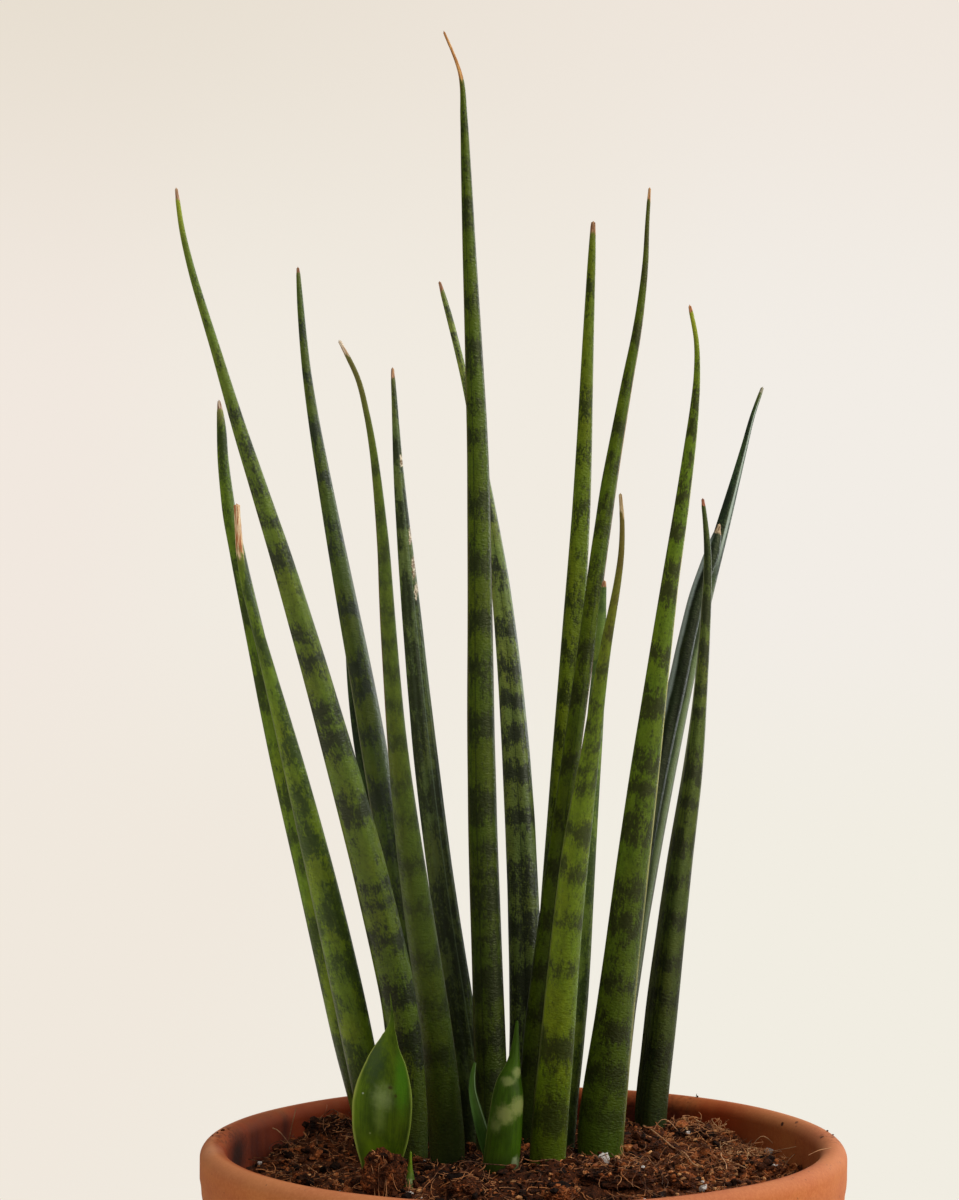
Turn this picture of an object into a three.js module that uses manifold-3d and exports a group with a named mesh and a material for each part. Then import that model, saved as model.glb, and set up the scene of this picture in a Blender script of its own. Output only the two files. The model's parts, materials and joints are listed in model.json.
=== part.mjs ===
// A cylindrical snake plant (Dracaena angolensis) in a plain clay pot, as a three.js scene graph.
// Millimetres, +Z up. The origin is on the pot's axis, at the foot that the pot stands on.

import * as THREE from "three";
import { mergeVertices } from "three/addons/utils/BufferGeometryUtils.js";
import Module from "manifold-3d";

const wasm = await Module();
wasm.setup();

// Driving dimensions

const clearance = 0.3; // between pieces that touch
const mergeTolerance = 1e-4;

const pot = {
  height: 135,
  rimRadius: 75,
  rimDrop: 7.5, // from the top of the lip down to its widest ring
  footRadius: 51,
  footRound: 2.5,
  wall: 6.3,
  floor: 8,
  floorCorner: 6, // the slope inside between the floor and the wall
  drainRadius: 8,
  belly: 0.35, // how far the side bows out of a straight taper
  sides: 44,
  courses: 4, // bands of faces up the wall
  lipSteps: 7,
  footSteps: 3,
  color: 0xb8683f,
  roughness: 0.85,
};

const soil = {
  edgeLevel: 123,
  lumpHeight: 0.55,
  lumpSize: 4.4,
  rings: 11,
  color: 0x2e2119,
  roughness: 0.95,
};

// Heaps on the soil: where each has its top, what it adds there and how far it spreads

const heaps = [
  { x: 4, y: 24, rise: 6.5, spread: 50 },
  { x: -46, y: 27, rise: 7.5, spread: 12 },
  { x: 42, y: 48, rise: 3.5, spread: 18 },
  { x: -14, y: -13, rise: 4, spread: 14 },
  { x: 12, y: -11, rise: 4, spread: 13 },
  { x: -33, y: -21, rise: 3, spread: 11 },
];

const stem = {
  buriedFoot: 108, // height of the cut foot of every leaf, inside the soil
  footShare: 0.8, // breadth at the foot as a share of the breadth at the soil
  holeSlack: 0.45,
  holeSides: 12,
};

const leafForm = {
  roundness: 0.94, // thickness through the channel as a share of the breadth
  channelDepth: 0.3, // at the foot, as a share of the radius; it runs out towards the tip
  channelHalfWidth: 0.6, // in radians
  crowding: 0.5, // draws the sides of the blank together at the channel
  sides: 12,
  steps: 18,
  roughness: 0.5,
};

const rhizome = {
  radius: 5,
  sides: 6,
  color: 0xb98a54,
  roughness: 0.8,
};

// Leaves. Each one climbs through stations [height, x, y, breadth], from the soil to its tip.
// groove is the compass angle that its channel faces, in degrees from +X towards +Y.

const leaves = [
  {
    groove: 20,
    color: 0x55702f,
    stations: [
      [131, -26, 15, 9.4],
      [161, -28, 12, 9.8],
      [192, -34.5, 7.5, 9.4],
      [225, -42.9, 2, 8],
      [270, -55.6, -6, 5.5],
      [300, -65, -12.2, 3.5],
      [318, -70.1, -16, 2.4],
      [334, -74.8, -19.7, 1.8],
      [345, -77.1, -22.2, 1.3],
      [353, -78, -24, 0.9],
    ],
  },
  {
    groove: 40,
    color: 0x4c6634,
    stations: [
      [131, -36.5, 36, 8.3],
      [151, -41.5, 37, 8.7],
      [187, -50, 41, 8.3],
      [220, -58.5, 45.5, 6.9],
      [254, -66.5, 50, 4.8],
      [287, -73.5, 55, 3.3],
      [307, -75, 57.5, 2.1],
      [310, -75.5, 58, 0.9],
    ],
  },
  {
    groove: 30,
    color: 0x4a6332,
    stations: [
      [131, -34.8, 20, 7.6],
      [156, -39.2, 19, 8.3],
      [189, -46.3, 16.5, 7.5],
      [222, -54.3, 14, 5.4],
      [248, -61, 11.5, 3.1],
      [268, -66, 9.5, 2],
      [283, -67, 8, 1.1],
    ],
  },
  {
    groove: -30,
    color: 0x3f5634,
    stations: [
      [131, -22, 31, 7.4],
      [163, -25, 32, 7.4],
      [199, -31.4, 34, 7.2],
      [236, -37.9, 36.4, 6.4],
      [260, -42.6, 38, 5.3],
      [289, -48.1, 40, 3.7],
      [313, -52.2, 41.8, 2.4],
      [332, -54.1, 43.2, 1.7],
      [342, -54.8, 44, 0.9],
    ],
  },
  {
    groove: -60,
    color: 0x38502f,
    stations: [
      [131, -28.5, 45, 6.9],
      [161, -30, 48.5, 6.7],
      [186, -32.5, 52.5, 6],
      [216, -37.9, 58.5, 5.4],
      [235, -41.5, 62, 4.1],
      [249, -44.3, 65, 2.3],
      [253, -45, 66, 0.9],
    ],
  },
  {
    groove: 80,
    color: 0x587536,
    stations: [
      [131, -17.5, 1, 8.4],
      [157, -19.5, -4.5, 7.5],
      [180, -22.7, -10.5, 7],
      [204, -25.9, -18, 6],
      [229, -28.5, -26.5, 4.4],
      [255, -30.2, -36, 3.5],
      [278, -31.4, -45.5, 2.4],
      [298, -33.7, -54, 1.4],
      [309, -36.4, -58.8, 1.1],
      [316, -40, -62, 0.9],
    ],
  },
  {
    groove: -85,
    color: 0x3d5433,
    stations: [
      [131, -10.5, 27, 7],
      [152, -13.2, 27, 6.6],
      [188, -18.8, 26.5, 6.2],
      [224, -23.3, 25.5, 5.7],
      [260, -26.8, 25, 4.4],
      [290, -29.5, 24.5, 2.5],
      [308, -30.5, 24, 1.4],
      [316, -31, 24, 0.9],
    ],
  },
  {
    groove: 110,
    color: 0x4d6a31,
    stations: [
      [131, -7, 14, 7.8],
      [166, -8, 15.5, 7.5],
      [213, -9.5, 18.5, 6.9],
      [260, -10, 22, 6],
      [296, -10.5, 25, 5.2],
      [342, -12.5, 29, 3.4],
      [367, -13.5, 31, 2.4],
      [386, -14.5, 33, 1.2],
      [392, -16, 33.5, 1],
      [398, -19, 34, 0.9],
    ],
  },
  {
    groove: -100,
    color: 0x3f5933,
    stations: [
      [131, 0.9, 37, 8.4],
      [153, 1.4, 38, 8.4],
      [187, 0.6, 42, 7.7],
      [223, -1.2, 48, 6.9],
      [262, -4.7, 56, 4.8],
      [290, -9, 61, 2.8],
      [316, -14, 66.5, 1.9],
      [336, -19, 71, 1.5],
      [341, -20.5, 72, 0.9],
    ],
  },
  {
    groove: -70,
    color: 0x6a8437,
    stations: [
      [131, 4, 49, 7.4],
      [149, 6, 49, 7.3],
      [198, 9.5, 50.5, 6.7],
      [248, 13, 52.5, 5.7],
      [285, 15.5, 55, 4.5],
      [322, 17, 57.5, 3],
      [350, 18.3, 59.5, 1.8],
      [355, 18.5, 60, 1.2],
    ],
  },
  {
    groove: 150,
    color: 0x566f34,
    stations: [
      [131, 2.5, 24.5, 7.4],
      [153, 3.2, 24.5, 6.7],
      [177, 6, 25, 6.2],
      [212, 10.5, 28, 4.9],
      [250, 16, 32.5, 4.5],
      [284, 20.8, 37, 4.3],
      [309, 25.3, 40.5, 3.2],
      [334, 30, 44, 2],
      [356, 31.5, 47, 1],
      [362, 32, 48, 0.9],
    ],
  },
  {
    groove: 130,
    color: 0x4b6434,
    stations: [
      [131, 9.8, 17.5, 5.9],
      [165, 13, 18, 5.8],
      [201, 15.2, 20.5, 5.4],
      [236, 18, 23.5, 3.9],
      [254, 19.2, 25, 2.3],
      [265, 19.9, 26, 1.2],
    ],
  },
  {
    groove: 95,
    color: 0x66833a,
    stations: [
      [131, 5.5, -5, 8.5],
      [157, 7.5, -10, 7.9],
      [181, 9.3, -15.8, 7],
      [204, 11.5, -22.4, 6.2],
      [227, 14.6, -29.5, 4.2],
      [249, 17.4, -37, 2.6],
      [263, 19.8, -42, 1.7],
      [274, 20.9, -46, 1.2],
      [284, 20.2, -50, 0.9],
    ],
  },
  {
    groove: 125,
    color: 0x5e7b38,
    stations: [
      [131, 18.4, 13.5, 11.3],
      [144, 19.7, 13.4, 10.9],
      [163, 21.9, 12.8, 9.2],
      [201, 26.4, 10.7, 7.9],
      [225, 29.4, 9.3, 6.7],
      [260, 33.9, 7, 4.4],
      [295, 38.9, 4.5, 3],
      [313, 40.6, 3.2, 1.5],
      [325, 39.8, 2.3, 1.1],
      [329, 38.5, 2, 0.9],
    ],
  },
  {
    groove: -20,
    color: 0x3a5131,
    stations: [
      [131, 23.2, 52.5, 7.4],
      [170, 28, 55, 6.9],
      [208, 35, 59, 6.4],
      [237, 41.2, 62.5, 5.6],
      [259, 46.5, 65, 4.8],
      [274, 50.6, 67, 4.1],
      [285, 53.7, 68.5, 3.1],
      [298, 57.3, 70, 1.8],
      [311, 60.9, 71.5, 1.1],
      [314, 62.4, 72, 0.9],
    ],
  },
  {
    groove: -130,
    color: 0x35492f,
    stations: [
      [131, 19, 33, 7.3],
      [163, 24.4, 36, 7],
      [187, 27.6, 39, 6.1],
      [217, 33.6, 43.3, 5],
      [238, 38.6, 46.5, 4.6],
      [260, 43.7, 50, 4.1],
      [272, 48, 52, 3.6],
      [274.6, 48.8, 52.5, 2.9],
      [276.5, 49.3, 52.8, 1.5],
      [279, 49.8, 53, 0.9],
    ],
  },
  {
    groove: -160,
    color: 0x405733,
    stations: [
      [131, 32, 47, 9],
      [148, 33.7, 46.8, 8.9],
      [166, 35.7, 46.3, 8.6],
      [198, 39.6, 44.7, 6.7],
      [217, 42.3, 43.5, 5.4],
      [235, 44, 42, 3.7],
      [260, 45.5, 39.5, 2.5],
      [273, 45.6, 38.5, 1.8],
      [285, 44.3, 38, 0.9],
    ],
  },
];

// Young shoots at the foot of the clump. flat is their thickness as a share of their breadth.

const ovateShoot = {
  groove: -95,
  flat: 0.42,
  sides: 14,
  color: 0x6d9440,
  stations: [
    [129.5, -32.3, -20, 7.7],
    [134.5, -32.3, -20, 10.3],
    [139.6, -32.2, -20.2, 13.2],
    [146.7, -31.9, -20, 14.1],
    [151.7, -31.4, -19.6, 12.3],
    [156.8, -31, -19.2, 8.5],
    [160.8, -30.5, -19, 4.2],
    [165.9, -29.8, -18.8, 1.5],
    [172, -30.4, -18.8, 0.9],
  ],
};

const bandedShoot = {
  groove: 60,
  steps: 14,
  color: 0x6f8f52,
  stations: [
    [131, -5.2, -11, 8.4],
    [140, -4.3, -11, 7.9],
    [146, -3.7, -11, 7.5],
    [150, -3.3, -11, 6],
    [154, -2.4, -11, 3.5],
    [158, -1.9, -11, 2],
    [164, -1.5, -11, 0.9],
  ],
};

const sheathOfBandedShoot = {
  groove: 0,
  sides: 10,
  steps: 10,
  stations: [
    [131, -7.1, -10.6, 4.1],
    [136, -8.9, -9.6, 3.8],
    [141, -10.4, -9, 3.2],
    [147, -11.8, -8.6, 2.2],
    [154, -11.4, -8.4, 0.9],
  ],
};

const buddingShoot = {
  groove: 90,
  sides: 10,
  steps: 8,
  color: 0x7d9a4c,
  stations: [
    [128.5, -26.2, -23, 4.2],
    [130.5, -25.9, -23, 2.9],
    [133, -25.7, -23, 1.5],
    [137, -25.5, -23, 0.8],
  ],
};

// Rhizome: the creeping rootstock under the leaves, as runs through [x, y]

const rhizomeRuns = [
  [
    [-37, 37],
    [-35, 21],
    [-26, 15],
    [-7, 14],
    [3, 22],
    [11, 17],
    [19, 15],
    [21, 32],
    [32, 47],
  ],
  [
    [-26, 15],
    [-22, 31],
    [-28, 45],
  ],
  [
    [-17, 14],
    [-17, 1],
    [-25, -19],
    [-32, -20],
  ],
  [
    [-7, 14],
    [-10, 27],
  ],
  [
    [-7, 14],
    [-5, -11],
  ],
  [
    [3, 22],
    [1, 37],
    [4, 49],
  ],
  [
    [3, 22],
    [5, -5],
  ],
  [
    [21, 32],
    [22, 52],
  ],
];

// Solids: booleans on closed meshes

function solidOf(geometry) {
  const bare = geometry.index ? geometry.toNonIndexed() : geometry.clone();
  bare.deleteAttribute("normal");
  bare.deleteAttribute("uv");
  const merged = mergeVertices(bare, mergeTolerance);
  return new wasm.Manifold(
    new wasm.Mesh({
      numProp: 3,
      vertProperties: new Float32Array(merged.attributes.position.array),
      triVerts: new Uint32Array(merged.index.array),
    }),
  );
}

function geometryOf(solid) {
  const mesh = solid.getMesh();
  const geometry = new THREE.BufferGeometry();
  geometry.setAttribute("position", new THREE.BufferAttribute(mesh.vertProperties, 3));
  geometry.setIndex(new THREE.BufferAttribute(mesh.triVerts, 1));
  geometry.computeVertexNormals();
  return geometry;
}

function piece(name, geometry, { color, roughness = leafForm.roughness }) {
  const mesh = new THREE.Mesh(geometry, new THREE.MeshStandardMaterial({ color, roughness, metalness: 0 }));
  mesh.name = name;
  return mesh;
}

// Pot: a thrown clay pot with a rounded lip, a flat foot and one drain hole

function potOuterRadius(z) {
  const widest = pot.height - pot.rimDrop;
  const climb = THREE.MathUtils.clamp((z - pot.footRound) / (widest - pot.footRound), 0, 1);
  const bowed = climb * (1 + pot.belly) - pot.belly * climb * climb;
  return pot.footRadius + (pot.rimRadius - pot.footRadius) * bowed;
}

function potInnerRadius(z) {
  return potOuterRadius(z) - pot.wall;
}

// Heights of the rings of points up the wall, from one height to another
function coursesBetween(bottom, top) {
  const heights = [];
  for (let i = 0; i <= pot.courses; i += 1) {
    heights.push(THREE.MathUtils.lerp(bottom, top, i / pot.courses));
  }
  return heights;
}

function innerCourses() {
  return coursesBetween(pot.floor + pot.floorCorner, pot.height - pot.rimDrop);
}

function arc(centreX, centreY, radius, fromDegrees, toDegrees, steps) {
  const points = [];
  for (let i = 0; i <= steps; i += 1) {
    const angle = THREE.MathUtils.degToRad(THREE.MathUtils.lerp(fromDegrees, toDegrees, i / steps));
    points.push(new THREE.Vector2(centreX + radius * Math.cos(angle), centreY + radius * Math.sin(angle)));
  }
  return points;
}

function lathe(profile, sides) {
  return new THREE.LatheGeometry(profile, sides).rotateX(Math.PI / 2);
}

function makePot() {
  const { height, rimRadius, rimDrop, footRadius, footRound, wall, floor, floorCorner, drainRadius } = pot;
  const lipRadius = wall / 2;
  const profile = [new THREE.Vector2(drainRadius, 0)];
  profile.push(...arc(footRadius - footRound, footRound, footRound, -90, 0, pot.footSteps));
  for (const z of coursesBetween(footRound, height - rimDrop).slice(1)) {
    profile.push(new THREE.Vector2(potOuterRadius(z), z));
  }
  profile.push(...arc(rimRadius - lipRadius, height - lipRadius, lipRadius, 0, 180, pot.lipSteps));
  for (const z of innerCourses().reverse()) {
    profile.push(new THREE.Vector2(potInnerRadius(z), z));
  }
  profile.push(new THREE.Vector2(potInnerRadius(floor) - floorCorner, floor));
  profile.push(new THREE.Vector2(drainRadius, floor));
  profile.push(profile[0].clone());
  return piece("pot", lathe(profile, pot.sides), pot);
}

// Leaves: a cylinder blank bent along the leaf's curve, with a channel down one side

function withBuriedFoot(stations) {
  const [, x, y, breadth] = stations[0];
  return [[stem.buriedFoot, x, y, breadth * stem.footShare], ...stations];
}

function leafGeometry(leaf) {
  const { groove, stations, flat, sides, steps } = { flat: leafForm.roundness, ...leafForm, ...leaf };
  const climbed = withBuriedFoot(stations);
  const path = new THREE.CatmullRomCurve3(climbed.map(([z, x, y]) => new THREE.Vector3(x, y, z)));
  const breadths = new THREE.SplineCurve(climbed.map(([z, , , breadth]) => new THREE.Vector2(breadth, z)));
  const facing = THREE.MathUtils.degToRad(groove);
  const channelSide = new THREE.Vector3(Math.cos(facing), Math.sin(facing), 0);
  const blank = new THREE.CylinderGeometry(1, 1, 1, sides, steps);
  const position = blank.attributes.position;
  const point = new THREE.Vector3();
  for (let i = 0; i < position.count; i += 1) {
    point.fromBufferAttribute(position, i);
    const along = point.y + 0.5;
    const out = Math.hypot(point.x, point.z);
    const even = Math.atan2(point.x, point.z);
    const angle = even - leafForm.crowding * Math.sin(even);
    const hollow = Math.exp(-((angle / leafForm.channelHalfWidth) ** 2));
    const channel = leafForm.channelDepth * (1 - along) * hollow;
    const radius = out * (1 - channel) * (breadths.getPoint(along).x / 2);
    const tangent = path.getTangent(along);
    const toChannel = channelSide.clone().addScaledVector(tangent, -channelSide.dot(tangent)).normalize();
    const across = new THREE.Vector3().crossVectors(tangent, toChannel);
    const place = path.getPoint(along);
    place.addScaledVector(toChannel, flat * radius * Math.cos(angle));
    place.addScaledVector(across, radius * Math.sin(angle));
    position.setXYZ(i, place.x, place.y, place.z);
  }
  return blank;
}

function makeBandedShoot() {
  const shoot = solidOf(leafGeometry(bandedShoot));
  const sheath = solidOf(leafGeometry(sheathOfBandedShoot));
  return piece("shoot_banded", geometryOf(shoot.add(sheath)), bandedShoot);
}

// Soil: fills the pot to under its lip, heaped and lumpy on top, with a hole for each stem

function soilLevel(x, y) {
  let level = soil.edgeLevel;
  for (const heap of heaps) {
    const away = Math.hypot(x - heap.x, y - heap.y) / heap.spread;
    level += heap.rise * Math.exp(-(away ** 2));
  }
  const coarse = Math.sin(x / soil.lumpSize) * Math.cos(y / soil.lumpSize);
  const fine = Math.sin((2 * x - y) / soil.lumpSize) * Math.cos((x + 2 * y) / soil.lumpSize);
  return level + soil.lumpHeight * (coarse + fine / 2);
}

function soilBlank() {
  const slack = 2 * clearance;
  const base = pot.floor + clearance;
  const sideHeights = innerCourses().slice(0, -1);
  const profile = [new THREE.Vector2(0, base)];
  profile.push(new THREE.Vector2(potInnerRadius(base) - pot.floorCorner - slack, base));
  for (const z of sideHeights) {
    profile.push(new THREE.Vector2(potInnerRadius(z) - slack, z));
  }
  for (let ring = soil.rings; ring >= 0; ring -= 1) {
    const radius = (potInnerRadius(soil.edgeLevel) - slack) * (ring / soil.rings);
    profile.push(new THREE.Vector2(radius, soil.edgeLevel));
  }
  const geometry = lathe(profile, pot.sides);
  const position = geometry.attributes.position;
  const endOfSides = sideHeights.at(-1) + clearance;
  for (let i = 0; i < position.count; i += 1) {
    if (position.getZ(i) > endOfSides) {
      position.setZ(i, soilLevel(position.getX(i), position.getY(i)));
    }
  }
  return solidOf(geometry);
}

function rhizomeLevel() {
  return stem.buriedFoot - clearance - rhizome.radius;
}

// A straight hole from above the soil down into the rhizome's space
function stemHole([, x, y, breadth]) {
  const radius = breadth / 2 + stem.holeSlack;
  const bottom = rhizomeLevel() + rhizome.radius / 2;
  const hole = new THREE.CylinderGeometry(radius, radius, pot.height - bottom, stem.holeSides);
  hole.rotateX(Math.PI / 2).translate(x, y, (bottom + pot.height) / 2);
  return solidOf(hole);
}

function rhizomeSolid(growth) {
  const upright = new THREE.Vector3(0, 1, 0);
  let whole = null;
  for (const run of rhizomeRuns) {
    const points = run.map(([x, y]) => new THREE.Vector3(x, y, rhizomeLevel()));
    for (let i = 1; i < points.length; i += 1) {
      const link = points[i].clone().sub(points[i - 1]);
      const middle = points[i].clone().addScaledVector(link, -0.5);
      const capsule = new THREE.CapsuleGeometry(rhizome.radius + growth, link.length(), 2, rhizome.sides);
      capsule.applyQuaternion(new THREE.Quaternion().setFromUnitVectors(upright, link.normalize()));
      capsule.translate(middle.x, middle.y, middle.z);
      whole = whole ? whole.add(solidOf(capsule)) : solidOf(capsule);
    }
  }
  return whole;
}

function makeSoil(stems) {
  let body = soilBlank();
  for (const { stations } of stems) {
    body = body.subtract(stemHole(stations[0]));
  }
  body = body.subtract(rhizomeSolid(clearance));
  return piece("soil", geometryOf(body), soil);
}

// The whole plant

const plant = new THREE.Group();
plant.add(makePot());
plant.add(makeSoil([...leaves, ovateShoot, bandedShoot, buddingShoot]));
plant.add(piece("rhizome", geometryOf(rhizomeSolid(0)), rhizome));

leaves.forEach((leaf, i) => {
  const name = `leaf_${String(i + 1).padStart(2, "0")}`;
  plant.add(piece(name, leafGeometry(leaf), leaf));
});

plant.add(piece("shoot_ovate", leafGeometry(ovateShoot), ovateShoot));
plant.add(makeBandedShoot());
plant.add(piece("shoot_budding", leafGeometry(buddingShoot), buddingShoot));

export default plant;
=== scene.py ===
import json
import math
import random

import bmesh
import bpy
from mathutils import Matrix, Vector, noise


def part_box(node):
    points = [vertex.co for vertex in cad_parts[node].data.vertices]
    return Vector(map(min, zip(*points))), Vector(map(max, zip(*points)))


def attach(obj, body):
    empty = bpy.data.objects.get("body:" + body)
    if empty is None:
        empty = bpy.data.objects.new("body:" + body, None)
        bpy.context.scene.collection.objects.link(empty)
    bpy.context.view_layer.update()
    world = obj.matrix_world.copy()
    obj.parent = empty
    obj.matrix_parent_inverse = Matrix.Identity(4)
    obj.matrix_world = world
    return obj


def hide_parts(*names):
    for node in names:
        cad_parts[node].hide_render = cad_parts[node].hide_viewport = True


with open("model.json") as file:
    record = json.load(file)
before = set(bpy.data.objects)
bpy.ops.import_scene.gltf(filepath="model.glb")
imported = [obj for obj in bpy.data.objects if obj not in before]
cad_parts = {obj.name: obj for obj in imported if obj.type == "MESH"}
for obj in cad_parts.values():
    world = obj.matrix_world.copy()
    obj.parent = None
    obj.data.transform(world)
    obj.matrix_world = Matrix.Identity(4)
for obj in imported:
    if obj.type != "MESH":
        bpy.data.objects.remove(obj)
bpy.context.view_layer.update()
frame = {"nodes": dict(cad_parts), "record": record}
mm = 0.001

# camera, light and stage

view = {"location": (-0.0101, -0.7073, 0.2677), "turn": (89.38, 0, 0), "lens": 91.55, "sensor": 36}
stage = {
    "floorRadius": 0.64,
    "shadowsFade": (0.30, 0.62),
    "coveRadius": 0.9,
    "reach": 2.5,
    "height": 2.6,
    "sides": 96,
    "coveSteps": 24,
    # colours of the glowing paper from left to right, and the stretches over which they change; their
    # unevenness, darker high up, is painted light and shade of the studio
    "low": (("f0e8dd", "f1ede2"), (-0.24, 0.06)),
    "middle": (("f1e8df", "f1ebe1", "f2ede6"), (-0.44, -0.22), (0.05, 0.28)),
    "high": (("e7ded0", "efe6dc"), (-0.5, 0.4)),
    "lowEnds": (0.0, 0.25),
    "highStarts": (0.42, 0.95),
}
sky = {"window": (0.85, -0.25, 0.45), "side": (0.95, 0.97, 1.0, 1), "far": (0.62, 0.59, 0.53, 1),
       "dimRoom": (0.10, 0.10, 0.08, 1), "strength": 0.62}
lamps = {
    "window": {"at": (1.0, -0.5, 1.2), "size": (0.8, 1.3), "watts": 15, "color": (1.0, 0.985, 0.93)},
    "backWindow": {"at": (0.85, 0.95, 0.55), "size": (0.6, 1.0), "watts": 6, "color": (0.93, 0.97, 1.0)},
}
lookAt = Vector((0, 0, 0.22))


def addToScene(name, data):
    made = bpy.data.objects.new(name, data)
    bpy.context.scene.collection.objects.link(made)
    return made


def makeObject(name, bm, smooth=True):
    mesh = bpy.data.meshes.new(name)
    bm.to_mesh(mesh)
    bm.free()
    mesh.polygons.foreach_set("use_smooth", [smooth] * len(mesh.polygons))
    return addToScene(name, mesh)


def finishPiece(made, material, slotName, *nodes):
    made.data.materials.clear()
    made.data.materials.append(material)
    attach(made, "root")
    if nodes:
        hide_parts(*nodes)


def spinProfile(points, steps):
    bm = bmesh.new()
    verts = [bm.verts.new((radius, 0, height)) for radius, height in points]
    edges = [bm.edges.new(pair) for pair in zip(verts, verts[1:])]
    bmesh.ops.spin(bm, geom=verts + edges, cent=(0, 0, 0), axis=(0, 0, 1),
                   angle=2 * math.pi, steps=steps, use_merge=True)
    bmesh.ops.remove_doubles(bm, verts=bm.verts, dist=1e-6)
    bmesh.ops.recalc_face_normals(bm, faces=bm.faces)
    return bm


def evenly(start, end, steps):
    return [start + (end - start) * i / steps for i in range(steps + 1)]


def arcPoints(centre, radius, start, end, steps):
    turns = [math.radians(turn) for turn in evenly(start, end, steps)]
    return [(centre[0] + radius * math.cos(t), centre[1] + radius * math.sin(t)) for t in turns]


def inMetres(numbers):
    return [n * mm for n in numbers]


def addCamera():
    data = bpy.data.cameras.new("camera")
    data.lens = view["lens"]
    data.sensor_width = view["sensor"]
    camera = addToScene("camera", data)
    camera.location = view["location"]
    camera.rotation_euler = [math.radians(a) for a in view["turn"]]
    bpy.context.scene.camera = camera


def addLamp(name, spec):
    data = bpy.data.lights.new(name, "AREA")
    data.shape = "RECTANGLE"
    data.size, data.size_y = spec["size"]
    data.energy = spec["watts"]
    data.color = spec["color"]
    lamp = addToScene(name, data)
    lamp.location = spec["at"]
    lamp.rotation_euler = (lookAt - lamp.location).to_track_quat("-Z", "Y").to_euler()


# shader helpers

def linearColor(hexCode):
    shares = [int(hexCode[i:i + 2], 16) / 255 for i in (0, 2, 4)]
    return tuple(s / 12.92 if s <= 0.04045 else ((s + 0.055) / 1.055) ** 2.4 for s in shares) + (1,)


def feed(tree, value, socket):
    # a link, a colour's hex code or a plain value
    if isinstance(value, bpy.types.NodeSocket):
        tree.links.new(value, socket)
    else:
        socket.default_value = linearColor(value) if isinstance(value, str) else value


def addNode(tree, kind, inputs=None, **settings):
    node = tree.nodes.new("ShaderNode" + kind)
    for label, value in settings.items():
        setattr(node, label, value)
    for label, value in (inputs or {}).items():
        feed(tree, value, node.inputs[label])
    return node.outputs


def calc(tree, operation, *values):
    # three values or more are worked through in turn
    while len(values) > 2:
        values = (calc(tree, operation, *values[:2]), *values[2:])
    return addNode(tree, "Math", dict(enumerate(values)), operation=operation)[0]


def plus(tree, *values):
    return calc(tree, "ADD", *values)


def minus(tree, first, second):
    return calc(tree, "SUBTRACT", first, second)


def times(tree, *values):
    return calc(tree, "MULTIPLY", *values)


def vectorCalc(tree, operation, *values):
    outputs = addNode(tree, "VectorMath", dict(enumerate(values)), operation=operation)
    return outputs["Value" if operation in ("DOT_PRODUCT", "LENGTH") else "Vector"]


def flattened(tree, vector):
    return vectorCalc(tree, "MULTIPLY", vector, (1, 1, 0))


def grain(tree, where, scale, detail=2.0, roughness=0.5):
    # three scales stretch the grain along the axes
    if isinstance(scale, tuple):
        where, scale = vectorCalc(tree, "MULTIPLY", where, scale), 1
    given = {"Vector": where, "Scale": scale, "Detail": detail, "Roughness": roughness}
    return addNode(tree, "TexNoise", given)["Fac"]


def ramp(tree, value, low, high, start=0.0, end=1.0):
    labels = ("Value", "From Min", "From Max", "To Min", "To Max")
    given = dict(zip(labels, (value, low, high, start, end)))
    return addNode(tree, "MapRange", given, interpolation_type="SMOOTHSTEP")["Result"]


def blendColors(tree, share, first, second, mode="MIX"):
    return addNode(tree, "Mix", {0: share, 6: first, 7: second}, data_type="RGBA", blend_type=mode)[2]


def tinted(tree, color, tint):
    return blendColors(tree, 1.0, color, tint, "MULTIPLY")


def sweep(tree, value, colors, *spans):
    # from the first colour to the last, each change over its own span of the value
    color = colors[0]
    for span, following in zip(spans, colors[1:]):
        color = blendColors(tree, ramp(tree, value, *span), color, following)
    return color


def newGroup(name, inputs, outputs):
    group = bpy.data.node_groups.new(name, "ShaderNodeTree")
    for direction, sockets in (("INPUT", inputs), ("OUTPUT", outputs)):
        for label, kind in sockets.items():
            group.interface.new_socket(label, in_out=direction, socket_type="NodeSocket" + kind)
    start = group.nodes.new("NodeGroupInput")
    end = group.nodes.new("NodeGroupOutput")
    return group, start.outputs, end.inputs


def place(tree, group, **values):
    return addNode(tree, "Group", values, node_tree=group)


def newMaterial(name, specular=0.5):
    material = bpy.data.materials.new(name)
    material.use_nodes = True
    sockets = material.node_tree.nodes["Principled BSDF"].inputs
    sockets["Specular IOR Level"].default_value = specular
    return material, material.node_tree, sockets


def addBump(tree, height, strength, depth, sockets):
    given = {"Strength": strength, "Distance": depth * mm, "Height": height}
    feed(tree, addNode(tree, "Bump", given)["Normal"], sockets["Normal"])


def objectPlace(tree):
    return addNode(tree, "TexCoord")["Object"]


def attribute(tree, name):
    return addNode(tree, "Attribute", attribute_name=name)["Vector"]


def splitVector(tree, vector):
    return addNode(tree, "SeparateXYZ", {0: vector})


# studio

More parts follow.
